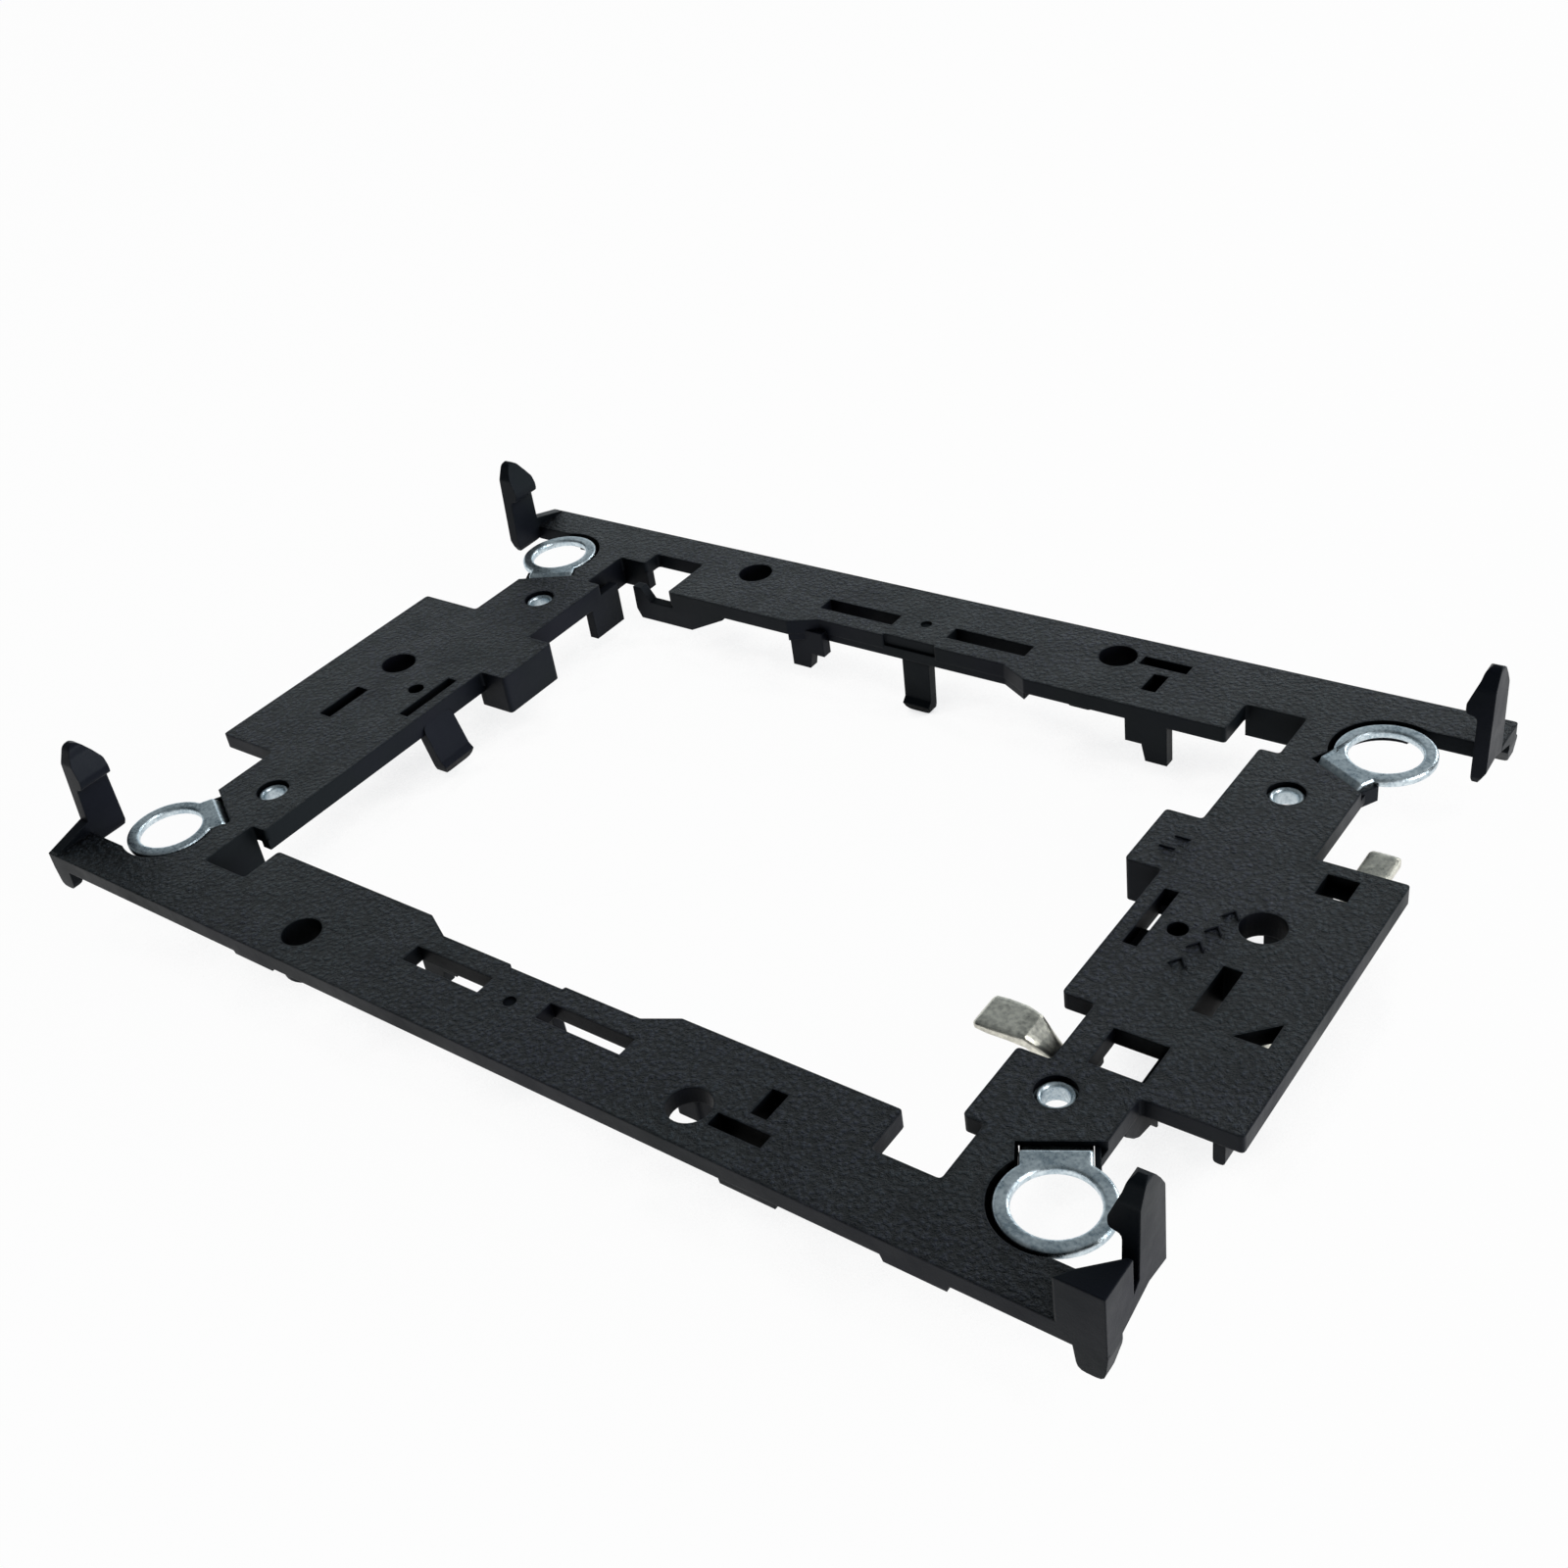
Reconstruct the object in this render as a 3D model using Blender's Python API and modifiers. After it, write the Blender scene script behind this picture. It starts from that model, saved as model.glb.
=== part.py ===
# Processor carrier for a server cooler: a moulded black frame that clips under the heatsink,
# with four zinc plated ring plates for the mounting nuts, their eyelets, and a steel release lever.
# The origin is at the middle of the underside of the long legs. +X runs along the long rails,
# +Y goes from the front rail to the back rail, and depths are measured down from the textured top.

import math

import bmesh
import bpy
from mathutils import Matrix, Vector

MM = 0.001
GRID = 1e-7                   # metres
WELD = 5e-6                   # metres

# Clearances
FIT = 0.3 * MM                # between two pieces that only rest beside each other
SEAT = 0.2 * MM               # between an eyelet and what it clamps
POCKET_GAP = 0.5 * MM         # round the rings, in the moulding

# Top plate
PLATE = 1.75 * MM             # thickness
WINDOW_LENGTH = 84.0 * MM     # processor window, along X
WINDOW_WIDTH = 58.6 * MM      # processor window, along Y
COLUMN_WIDTH = 11.0 * MM      # short sides
RAIL_WIDTH = 11.9 * MM        # long sides
ARM_WIDTH = 4.7 * MM          # corner arms that reach past the rings
EAR_REACH = 8.5 * MM          # ears, beyond the columns
EAR_RIGHT_SETBACK = (9.8 * MM, 15.4 * MM)   # ear edges, from the window's front and back edges
EAR_LEFT_SETBACK = (12.6 * MM, 12.6 * MM)
OUTER_ROUND = 0.4 * MM

# Window outline
NOTCH_INTO_RAIL = (4.3 * MM, 4.7 * MM)      # corner notch: along the rail, into the rail
NOTCH_INTO_COLUMN = (2.0 * MM, 1.8 * MM)    # corner notch: into the column, along the column
RELIEF_DEPTH = 1.75 * MM
RELIEF_LENGTH = 24.0 * MM
RELIEF_SLOPE = 3.3 * MM
NICK_DEPTH = 0.35 * MM
NICK_LENGTH = 6.6 * MM
TAB_REACH = 3.6 * MM
TAB_LENGTH = 8.3 * MM
TAB_RIGHT_SETBACK = 18.35 * MM              # from the window's back edge
TAB_LEFT_SETBACK = 19.2 * MM
TAB_DEPTH = 4.7 * MM
LEVER_NOTCH_REACH = 3.05 * MM
LEVER_NOTCH_FRONT = 3.3 * MM                # from the lever's axis
LEVER_NOTCH_BACK = 4.1 * MM
SIDE_WINDOW = (2.4 * MM, 4.9 * MM)          # extra window beside the back left notch: left and right of its wall
SIDE_WINDOW_REACH = 7.1 * MM

# Holes and slots in the plate
RAIL_HOLE = 4.05 * MM
RAIL_HOLE_SETBACK = (19.8 * MM, 16.6 * MM)  # from the window's right and left ends
RAIL_HOLE_INSET = 4.0 * MM
EAR_HOLE = 4.1 * MM
EAR_HOLE_Y = 3.3 * MM
RAIL_SLOT = (9.7 * MM, 2.1 * MM)
RAIL_SLOT_X = 8.4 * MM
RAIL_SLOT_INSET = 6.85 * MM
LONG_T_SLOT = (5.3 * MM, 1.5 * MM)
LONG_T_SLOT_SETBACK = 14.55 * MM            # from the window's right end
LONG_T_SLOT_INSET = 3.75 * MM
SHORT_T_SLOT = (1.6 * MM, 3.1 * MM)
SHORT_T_SLOT_SETBACK = 14.05 * MM
SHORT_T_SLOT_INSET = 7.25 * MM
EAR_SLOT = 1.75 * MM          # width
EAR_SLOT_FROM_LEVER = 6.9 * MM
EAR_SLOT_FROM_HOLE = 5.9 * MM
COLUMN_SLOT = (1.35 * MM, 8.1 * MM)
COLUMN_SLOT_INSET = 2.1 * MM
COLUMN_SLOT_RIGHT_Y = 0.45 * MM
COLUMN_SLOT_LEFT_Y = -0.7 * MM
SQUARE_WINDOW = (4.9 * MM, 4.5 * MM)
SQUARE_WINDOW_INSET = 2.85 * MM
SMALL_WINDOW = (2.85 * MM, 3.0 * MM)
SMALL_WINDOW_SETBACK = 3.0 * MM             # from the right ear's back edge
SMALL_WINDOW_INSET = 5.2 * MM
TRIANGLE_LEG = 3.0 * MM
TRIANGLE_SETBACK = 9.6 * MM   # from the right ear's front edge
TRIANGLE_INSET = 2.3 * MM
GATE = 1.3 * MM               # gate mark on the rails
GATE_DEPTH = 0.2 * MM
GATE_INSET = 6.3 * MM
COLUMN_GATE = 1.9 * MM
COLUMN_GATE_DEPTH = 1.2 * MM
COLUMN_GATE_INSET = 4.8 * MM

# Ribs, walls and legs under the plate
BLEND = 0.4 * MM              # how far a rib reaches up into the plate
RIB = 1.2 * MM                # thickness
EAR_RIB_DEPTH = 2.7 * MM
EAR_RIB_INSET = 1.2 * MM
RELIEF_RIB_DEPTH = 2.6 * MM
COLUMN_RIB_DEPTH = 2.5 * MM
SLOT_STOP_GAP = (0.2 * MM, 3.8 * MM)        # opening left between the stops under the right column's slot
SLOT_STOP_LENGTH = 4.2 * MM
NOTCH_WALL_DEPTH = 3.7 * MM
NOTCH_WALL_DEPTH_FRONT_LEFT = 5.0 * MM
PAD_LENGTH = 6.3 * MM         # pads along the rails' outer edges
PAD_WIDTH = 1.3 * MM
PAD_SLOPE = 0.4 * MM
PAD_DEPTH = (2.1 * MM, 3.8 * MM, 2.45 * MM)
PAD_INSET = (0.0, 1.0 * MM, 0.0)
PAD_SETBACK = (73.9 * MM, 15.5 * MM, -0.8 * MM)   # pad's left end, from the window's right end
WELL_DEPTH = 4.0 * MM         # sleeves under the slots and the holes
WELL_WALL = 0.8 * MM
PEG = (2.7 * MM, 2.1 * MM)    # beside the right rail holes
PEG_DEPTH = 5.7 * MM
PEG_SETBACK = 23.1 * MM
EAR_HOLE_DEPTH = 2.6 * MM     # sleeve under the right ear's hole
EAR_WALL_DEPTH = 4.4 * MM
EAR_WALL = (0.9 * MM, 2.2 * MM)             # reach to the left and right of the ear hole's centre
RAIL_LEG_REACH = 9.2 * MM     # long legs, down from the top face
COLUMN_LEG_REACH = 7.4 * MM
LEG = 1.3 * MM                # thickness
LEG_HOOK = 0.6 * MM
LEG_HOOK_HEIGHT = 1.7 * MM
LEG_ROUND = 0.9 * MM
RAIL_LEG_X = 0.5 * MM
RAIL_LEG_WIDTH = 3.4 * MM
RAIL_LEG_LEAN = 0.2 * MM
COLUMN_LEG_Y = -2.0 * MM
COLUMN_LEG_WIDTH = 4.6 * MM
COLUMN_LEG_LEAN = 1.6 * MM
CLIP_RIGHT_SETBACK = 12.8 * MM
CLIP_LEFT_X = -13.5 * MM
CLIP_WIDTH = 4.6 * MM
CLIP_STEP = 1.8 * MM
CLIP_DEPTH = 4.4 * MM
CLIP_TIP_DEPTH = 6.4 * MM
FOOT_DEPTH = 4.15 * MM        # corner feet
FOOT_LENGTH = 2.7 * MM
FOOT_WIDTH = 2.2 * MM
FOOT_TIP = 0.75 * MM          # width at the bottom
FOOT_ROOT = 0.45 * MM         # below the plate, where the back slope starts
FOOT_DRAFT = 0.3 * MM
END_SLOPE_TOP = (1.15 * MM, 0.3 * MM)       # depth on the outer face, beside the foot and beside the post
END_SLOPE_RUN = 0.8 * MM      # how far the slope gets inwards at the plate's underside
SIDE_BAR_DEPTH = 4.6 * MM
SIDE_BAR_SHELF = 2.1 * MM     # its top, where it stands free
SIDE_BAR_OVERHANG = 0.6 * MM
SIDE_BAR_LENGTH = 8.4 * MM
SIDE_BAR_SLOPE = 5.0 * MM
SIDE_LEG_DEPTH = 6.45 * MM
SIDE_LEG_Y = (-4.0 * MM, 1.1 * MM)          # from the window's corner
EAR_LEG_DEPTH = 4.45 * MM
EAR_LEG = (1.0 * MM, 3.5 * MM)
EAR_LEG_INSET = (1.7 * MM, 0.5 * MM)

# Latch posts at the four corners
POST = 1.35 * MM              # thickness
POST_WIDTH = 4.15 * MM
POST_HEIGHT = 10.3 * MM
POST_SIDE = (                 # front edge, crown and back edge, as shares of the width and the height
    (0.0, 0.0), (0.12, 0.80), (0.31, 0.955), (0.48, 1.0), (0.66, 0.945), (0.84, 0.84), (1.0, 0.725),
)
CROWN = 0.55 * MM             # rounding of the top
NOSE_REACH = 1.1 * MM
NOSE_TIP = 1.2 * MM
NOSE_HEIGHT = 5.35 * MM
RAMP_HEIGHT = 1.3 * MM        # beside the left posts
BLOCK = (4.0 * MM, 3.95 * MM)               # corner block, only at the front right
BLOCK_HEIGHT = 4.6 * MM
SLIT_FLOOR = (1.0 * MM, 1.9 * MM)           # height at the block, at the post

# Ring plates and eyelets
RING_RADIUS = 4.7 * MM
RING_BORE = 6.75 * MM
SHEET = 0.9 * MM
RING_TO_EDGE = 0.5 * MM       # ring centre to the column's outer edge
TAB_HALF_WIDTH = 2.8 * MM
TAB_ANGLE = 28.6              # degrees, between the tab and the Y axis
EYELET_DISTANCE = 11.3 * MM
EYELET_RADIUS = 1.6 * MM
EYELET_BORE = 2.3 * MM
EYELET_WALL = 0.25 * MM
EYELET_LIP = 0.22 * MM
EYELET_FLARE = (0.28 * MM, 0.32 * MM)       # of the mouth: outwards, downwards
TAB_COVER = 0.5 * MM          # moulding left over the tab
TAB_EDGE = 6.05 * MM          # ring centre to the moulding's edge over the tab
TAB_BEND = 0.9 * MM           # length of the slope from the ring's level down to the tab's
LEDGE = 0.35 * MM             # moulding that reaches under the ring
RING_POINTS = 64

# Release lever
LEVER_ROD = 2.0 * MM
LEVER_SETBACK = 13.7 * MM     # axis, from the window's front edge
LEVER_DEPTH = 4.0 * MM        # axis below the top face
LEVER_BEND = 1.7 * MM
LEVER_INSET = 4.8 * MM        # from the ear's outer edge to the arm
LEVER_REACH = 7.6 * MM        # beyond the ear's back edge
LEVER_HANDLE = (3.0 * MM, 1.1 * MM, 6.2 * MM)
PADDLE = (4.1 * MM, 1.0 * MM, 4.7 * MM)
PADDLE_DEPTH = 0.95 * MM
PADDLE_NECK = 3.4 * MM
LUG = 1.2 * MM
LUG_HALF_WIDTH = 2.45 * MM
LUG_DROP = (0.6 * MM, 1.9 * MM)             # inner and outer lug, below the lever's axis
LUG_NOSE = (                  # outer lug's front, from the lever's axis and from the top face
    (6.2 * MM, 2.2 * MM), (4.85 * MM, 3.6 * MM), (3.9 * MM, 4.25 * MM), (1.8 * MM, 4.7 * MM),
)
LUG_MOUTH = 1.5 * MM
GUIDE = 1.0 * MM
GUIDE_LENGTH = 3.2 * MM

# Worked out from the sizes above
TOP = RAIL_LEG_REACH
WINDOW_X = WINDOW_LENGTH / 2
WINDOW_Y = WINDOW_WIDTH / 2
COLUMN_X = WINDOW_X + COLUMN_WIDTH
FRAME_X = COLUMN_X + EAR_REACH
FRAME_Y = WINDOW_Y + RAIL_WIDTH
ARM_Y = FRAME_Y - ARM_WIDTH
RING_X = COLUMN_X - RING_TO_EDGE
RING_Y = ARM_Y - RING_RADIUS
ROD = LEVER_ROD / 2
ROD_BORE = ROD + FIT
LEVER_Y = LEVER_SETBACK - WINDOW_Y
LEVER_Z = TOP - LEVER_DEPTH
ARM_X = FRAME_X - LEVER_INSET
TAB_DROP = TAB_COVER + FIT
EAR_RIGHT = (EAR_RIGHT_SETBACK[0] - WINDOW_Y, WINDOW_Y - EAR_RIGHT_SETBACK[1])
EAR_LEFT = (EAR_LEFT_SETBACK[0] - WINDOW_Y, WINDOW_Y - EAR_LEFT_SETBACK[1])
TAB_RIGHT_Y = WINDOW_Y - TAB_RIGHT_SETBACK
TAB_LEFT_Y = WINDOW_Y - TAB_LEFT_SETBACK
RAIL_HOLE_X = (WINDOW_X - RAIL_HOLE_SETBACK[0], RAIL_HOLE_SETBACK[1] - WINDOW_X)
CLIP_X = (WINDOW_X - CLIP_RIGHT_SETBACK, CLIP_LEFT_X)
EAR_SLOT_Y = (LEVER_Y + EAR_SLOT_FROM_LEVER, EAR_HOLE_Y - EAR_SLOT_FROM_HOLE)

CORNERS = {
    "front_left": (-1, -1),
    "front_right": (1, -1),
    "back_right": (1, 1),
    "back_left": (-1, 1),
}


def clear_scene():
    for obj in list(bpy.data.objects):
        bpy.data.objects.remove(obj, do_unlink=True)
    for collection in list(bpy.data.collections):
        bpy.data.collections.remove(collection)


def new_collection(name):
    collection = bpy.data.collections.new(name)
    bpy.context.scene.collection.children.link(collection)
    return collection


def add_mesh(name, bm, collection):
    """A new object from the mesh, on a fine grid so that faces that should line up do."""
    for vert in bm.verts:
        vert.co = [round(value / GRID) * GRID for value in vert.co]
    mesh = bpy.data.meshes.new(name)
    bmesh.ops.recalc_face_normals(bm, faces=bm.faces)
    bm.to_mesh(mesh)
    bm.free()
    obj = bpy.data.objects.new(name, mesh)
    collection.objects.link(obj)
    return obj


def box(name, x, y, z, collection):
    """A box between two values on each axis."""
    bm = bmesh.new()
    bmesh.ops.create_cube(bm, size=1.0)
    for vert in bm.verts:
        for axis, span in enumerate((x, y, z)):
            low, high = min(span), max(span)
            vert.co[axis] = (low + high) / 2 + vert.co[axis] * (high - low)
    return add_mesh(name, bm, collection)


def cylinder(name, centre, radius, z, collection, segments=48):
    bm = bmesh.new()
    bmesh.ops.create_cone(bm, cap_ends=True, segments=segments, radius1=radius, radius2=radius, depth=z[1] - z[0])
    bmesh.ops.translate(bm, verts=bm.verts, vec=(centre[0], centre[1], (z[0] + z[1]) / 2))
    return add_mesh(name, bm, collection)


def outline_to_mesh(name, loops, half_depth, matrix, collection):
    """A flat outline with holes, drawn as a filled 2D curve, made a closed mesh."""
    curve = bpy.data.curves.new(name, "CURVE")
    curve.dimensions = "2D"
    curve.fill_mode = "BOTH"
    curve.extrude = half_depth
    for loop in loops:
        spline = curve.splines.new("POLY")
        spline.points.add(len(loop) - 1)
        for point, (u, v) in zip(spline.points, loop):
            point.co = (u, v, 0.0, 1.0)
        spline.use_cyclic_u = True
    drawn = bpy.data.objects.new(name + "_outline", curve)
    drawn.matrix_world = matrix
    collection.objects.link(drawn)
    graph = bpy.context.evaluated_depsgraph_get()
    mesh = bpy.data.meshes.new_from_object(drawn.evaluated_get(graph))
    mesh.transform(matrix)
    bpy.data.objects.remove(drawn, do_unlink=True)
    bm = bmesh.new()
    bm.from_mesh(mesh)
    bpy.data.meshes.remove(mesh)
    bmesh.ops.remove_doubles(bm, verts=bm.verts, dist=1e-6)
    return add_mesh(name, bm, collection)


def prism(name, points, span, axis, collection):
    """A profile pushed along an axis: (y, z) points along X, (x, z) along Y, (x, y) along Z."""
    turns = {
        "X": Matrix(((0, 0, 1), (1, 0, 0), (0, 1, 0))),
        "Y": Matrix(((1, 0, 0), (0, 0, -1), (0, 1, 0))),
        "Z": Matrix.Identity(3),
    }
    middle = Vector((0, 0, 0))
    middle["XYZ".index(axis)] = (span[0] + span[1]) / 2
    matrix = Matrix.Translation(middle) @ turns[axis].to_4x4()
    return outline_to_mesh(name, [points], abs(span[1] - span[0]) / 2, matrix, collection)


def hull(name, corners, collection):
    """The closed body with flat sides that has these corners."""
    bm = bmesh.new()
    for corner in corners:
        bm.verts.new(corner)
    bmesh.ops.convex_hull(bm, input=bm.verts)
    return add_mesh(name, bm, collection)


def circle(centre, radius, count):
    step = 2 * math.pi / count
    return [(centre[0] + radius * math.cos(i * step), centre[1] + radius * math.sin(i * step)) for i in range(count)]


def rectangle(centre, size):
    x, y = centre
    a, b = size[0] / 2, size[1] / 2
    return [(x - a, y - b), (x + a, y - b), (x + a, y + b), (x - a, y + b)]


def rounded(points, radius, steps=3):
    """The outline with each corner turned into a short arc."""
    result = []
    count = len(points)
    for i in range(count):
        before, corner, after = (Vector(points[(i + k) % count]) for k in (-1, 0, 1))
        to_before = (before - corner).normalized()
        to_after = (after - corner).normalized()
        half = to_before.angle(to_after) / 2
        reach = min(radius / math.tan(half), 0.45 * (before - corner).length, 0.45 * (after - corner).length)
        start = corner + to_before * reach
        end = corner + to_after * reach
        for k in range(steps + 1):
            t = k / steps
            point = start * (1 - t) ** 2 + corner * (2 * t * (1 - t)) + end * t ** 2
            result.append((point.x, point.y))
    return result


def boolean(obj, operation, tool=None, tools=None):
    modifier = obj.modifiers.new(operation.title(), "BOOLEAN")
    modifier.operation = operation
    modifier.solver = "EXACT"
    if tools is None:
        modifier.object = tool
    else:
        modifier.operand_type = "COLLECTION"
        modifier.collection = tools
    return modifier


def bake(obj):
    """Applies the object's modifiers to its own mesh, and welds the slivers that cuts leave."""
    graph = bpy.context.evaluated_depsgraph_get()
    mesh = bpy.data.meshes.new_from_object(obj.evaluated_get(graph))
    obj.modifiers.clear()
    bm = bmesh.new()
    bm.from_mesh(mesh)
    bmesh.ops.remove_doubles(bm, verts=bm.verts, dist=WELD)
    bmesh.ops.dissolve_degenerate(bm, edges=bm.edges, dist=WELD)
    bm.to_mesh(mesh)
    bm.free()
    obj.data = mesh


def principled(name, colour, roughness, metallic):
    material = bpy.data.materials.new(name)
    material.use_nodes = True
    shader = material.node_tree.nodes["Principled BSDF"]
    shader.inputs["Base Color"].default_value = (*colour, 1.0)
    shader.inputs["Roughness"].default_value = roughness
    shader.inputs["Metallic"].default_value = metallic
    return material


def finish(obj, material):
    obj.data.materials.clear()
    obj.data.materials.append(material)
    obj.data.shade_smooth()
    obj.data.set_sharp_from_angle(angle=math.radians(35))


# Directions at a corner: from the ring's centre towards its eyelet, and across the tab
def tab_axes(side_x, side_y):
    angle = math.radians(TAB_ANGLE)
    along = Vector((-side_x * math.sin(angle), -side_y * math.cos(angle)))
    across = Vector((along.y, -along.x))
    return along, across


def ring_centre(side_x, side_y):
    return Vector((side_x * RING_X, side_y * RING_Y))


def eyelet_centre(side_x, side_y):
    return ring_centre(side_x, side_y) + tab_axes(side_x, side_y)[0] * EYELET_DISTANCE


# Carrier frame, seen from above
def plate_outline():
    right = [
        (FRAME_X, -FRAME_Y), (FRAME_X, -ARM_Y), (COLUMN_X, -ARM_Y),
        (COLUMN_X, EAR_RIGHT[0]), (FRAME_X, EAR_RIGHT[0]), (FRAME_X, EAR_RIGHT[1]), (COLUMN_X, EAR_RIGHT[1]),
        (COLUMN_X, ARM_Y), (FRAME_X, ARM_Y), (FRAME_X, FRAME_Y),
    ]
    left = [
        (-FRAME_X, FRAME_Y), (-FRAME_X, ARM_Y), (-COLUMN_X, ARM_Y),
        (-COLUMN_X, EAR_LEFT[1]), (-FRAME_X, EAR_LEFT[1]), (-FRAME_X, EAR_LEFT[0]), (-COLUMN_X, EAR_LEFT[0]),
        (-COLUMN_X, -ARM_Y), (-FRAME_X, -ARM_Y), (-FRAME_X, -FRAME_Y),
    ]
    return rounded(right + left, OUTER_ROUND)


def relief(side_y, side_x):
    """Half of the shallow step in the middle of a rail, from its slope to the nick."""
    edge = WINDOW_Y * side_y
    deep = (WINDOW_Y + RELIEF_DEPTH) * side_y
    deepest = (WINDOW_Y + RELIEF_DEPTH + NICK_DEPTH) * side_y
    half = RELIEF_LENGTH / 2
    nick = NICK_LENGTH / 2
    return [
        ((half + RELIEF_SLOPE) * side_x, edge), (half * side_x, deep),
        (nick * side_x, deep), (nick * side_x, deepest),
    ]


def window_outline():
    rail_x = WINDOW_X - NOTCH_INTO_RAIL[0]
    notch_y = WINDOW_Y + NOTCH_INTO_RAIL[1]
    notch_x = WINDOW_X + NOTCH_INTO_COLUMN[0]
    column_y = WINDOW_Y - NOTCH_INTO_COLUMN[1]
    tab_x = WINDOW_X - TAB_REACH
    half_tab = TAB_LENGTH / 2
    lever_x = WINDOW_X + LEVER_NOTCH_REACH
    side_y = WINDOW_Y + SIDE_WINDOW_REACH
    side_left, side_right = -rail_x - SIDE_WINDOW[0], -rail_x + SIDE_WINDOW[1]
    front = [(-notch_x, -notch_y), (-rail_x, -notch_y), (-rail_x, -WINDOW_Y)]
    front += relief(-1, -1) + relief(-1, 1)[::-1]
    front += [(rail_x, -WINDOW_Y), (rail_x, -notch_y), (notch_x, -notch_y), (notch_x, -column_y)]
    right = [
        (WINDOW_X, -column_y), (WINDOW_X, LEVER_Y - LEVER_NOTCH_FRONT), (lever_x, LEVER_Y - LEVER_NOTCH_FRONT),
        (lever_x, LEVER_Y + LEVER_NOTCH_BACK), (WINDOW_X, LEVER_Y + LEVER_NOTCH_BACK),
        (WINDOW_X, TAB_RIGHT_Y - half_tab), (tab_x, TAB_RIGHT_Y - half_tab),
        (tab_x, TAB_RIGHT_Y + half_tab), (WINDOW_X, TAB_RIGHT_Y + half_tab),
        (WINDOW_X, column_y), (notch_x, column_y), (notch_x, notch_y), (rail_x, notch_y),
    ]
    back = [(rail_x, WINDOW_Y)] + relief(1, 1) + relief(1, -1)[::-1]
    back += [(side_right, WINDOW_Y), (side_right, side_y), (side_left, side_y), (side_left, notch_y)]
    left = [
        (-notch_x, notch_y), (-notch_x, column_y), (-WINDOW_X, column_y),
        (-WINDOW_X, TAB_LEFT_Y + half_tab), (-tab_x, TAB_LEFT_Y + half_tab),
        (-tab_x, TAB_LEFT_Y - half_tab), (-WINDOW_X, TAB_LEFT_Y - half_tab),
        (-WINDOW_X, -column_y), (-notch_x, -column_y),
    ]
    return rounded(front + right + back + left, OUTER_ROUND)


def plate_holes():
    """Holes that end at the underside. The ones with sleeves are cut by add_wells."""
    loops = [circle((RAIL_HOLE_X[0], RAIL_HOLE_INSET - FRAME_Y), RAIL_HOLE / 2, 32)]
    for side_y in (-1, 1):
        for side_x in (-1, 1):
            loops.append(rectangle((side_x * RAIL_SLOT_X, side_y * (FRAME_Y - RAIL_SLOT_INSET)), RAIL_SLOT))
    slot_x = WINDOW_X + COLUMN_SLOT_INSET
    loops.append(rectangle((slot_x, COLUMN_SLOT_RIGHT_Y), COLUMN_SLOT))
    loops.append(rectangle((-slot_x, COLUMN_SLOT_LEFT_Y), COLUMN_SLOT))
    loops.append(rectangle((COLUMN_X - SQUARE_WINDOW_INSET, LEVER_Y), SQUARE_WINDOW))
    small_y = EAR_RIGHT[1] - SMALL_WINDOW_SETBACK
    loops.append(rectangle((FRAME_X - SMALL_WINDOW_INSET, small_y), SMALL_WINDOW))
    tip, low = FRAME_X - TRIANGLE_INSET, EAR_RIGHT[0] + TRIANGLE_SETBACK
    loops.append([(tip - TRIANGLE_LEG, low), (tip, low), (tip, low + TRIANGLE_LEG)])
    return loops


def below(depth):
    return TOP - depth


def add_wells(solids, cuts):
    """Slots and holes that run down into sleeves, which makes them look black from above."""
    slots = []
    holes = []
    for side_y in (-1, 1):
        slots.append(((WINDOW_X - LONG_T_SLOT_SETBACK, side_y * (FRAME_Y - LONG_T_SLOT_INSET)), LONG_T_SLOT))
        slots.append(((WINDOW_X - SHORT_T_SLOT_SETBACK, side_y * (FRAME_Y - SHORT_T_SLOT_INSET)), SHORT_T_SLOT))
        holes.append(((RAIL_HOLE_X[1], side_y * (FRAME_Y - RAIL_HOLE_INSET)), RAIL_HOLE / 2, WELL_DEPTH))
    holes.append(((RAIL_HOLE_X[0], FRAME_Y - RAIL_HOLE_INSET), RAIL_HOLE / 2, WELL_DEPTH))
    holes.append(((-COLUMN_X, EAR_HOLE_Y), EAR_HOLE / 2, WELL_DEPTH))
    holes.append(((COLUMN_X, EAR_HOLE_Y), EAR_HOLE / 2, EAR_HOLE_DEPTH))
    middle = (EAR_SLOT_Y[0] + EAR_SLOT_Y[1]) / 2
    for side_x in (-1, 1):
        slots.append(((side_x * COLUMN_X, middle), (EAR_SLOT, EAR_SLOT_Y[1] - EAR_SLOT_Y[0])))
    root, through = below(PLATE - BLEND), (below(WELL_DEPTH + BLEND), TOP + BLEND)
    for centre, (width, length) in slots:
        outer = rounded(rectangle(centre, (width + 2 * WELL_WALL, length + 2 * WELL_WALL)), OUTER_ROUND)
        prism("slot_sleeve", outer, (below(WELL_DEPTH), root), "Z", solids)
        prism("slot_cut", rectangle(centre, (width, length)), through, "Z", cuts)
    for centre, radius, depth in holes:
        cylinder("hole_sleeve", centre, radius + WELL_WALL, (below(depth), root), solids, segments=32)
        cylinder("hole_cut", centre, radius, (below(depth + BLEND / 2), TOP + BLEND), cuts, segments=32)


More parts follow.
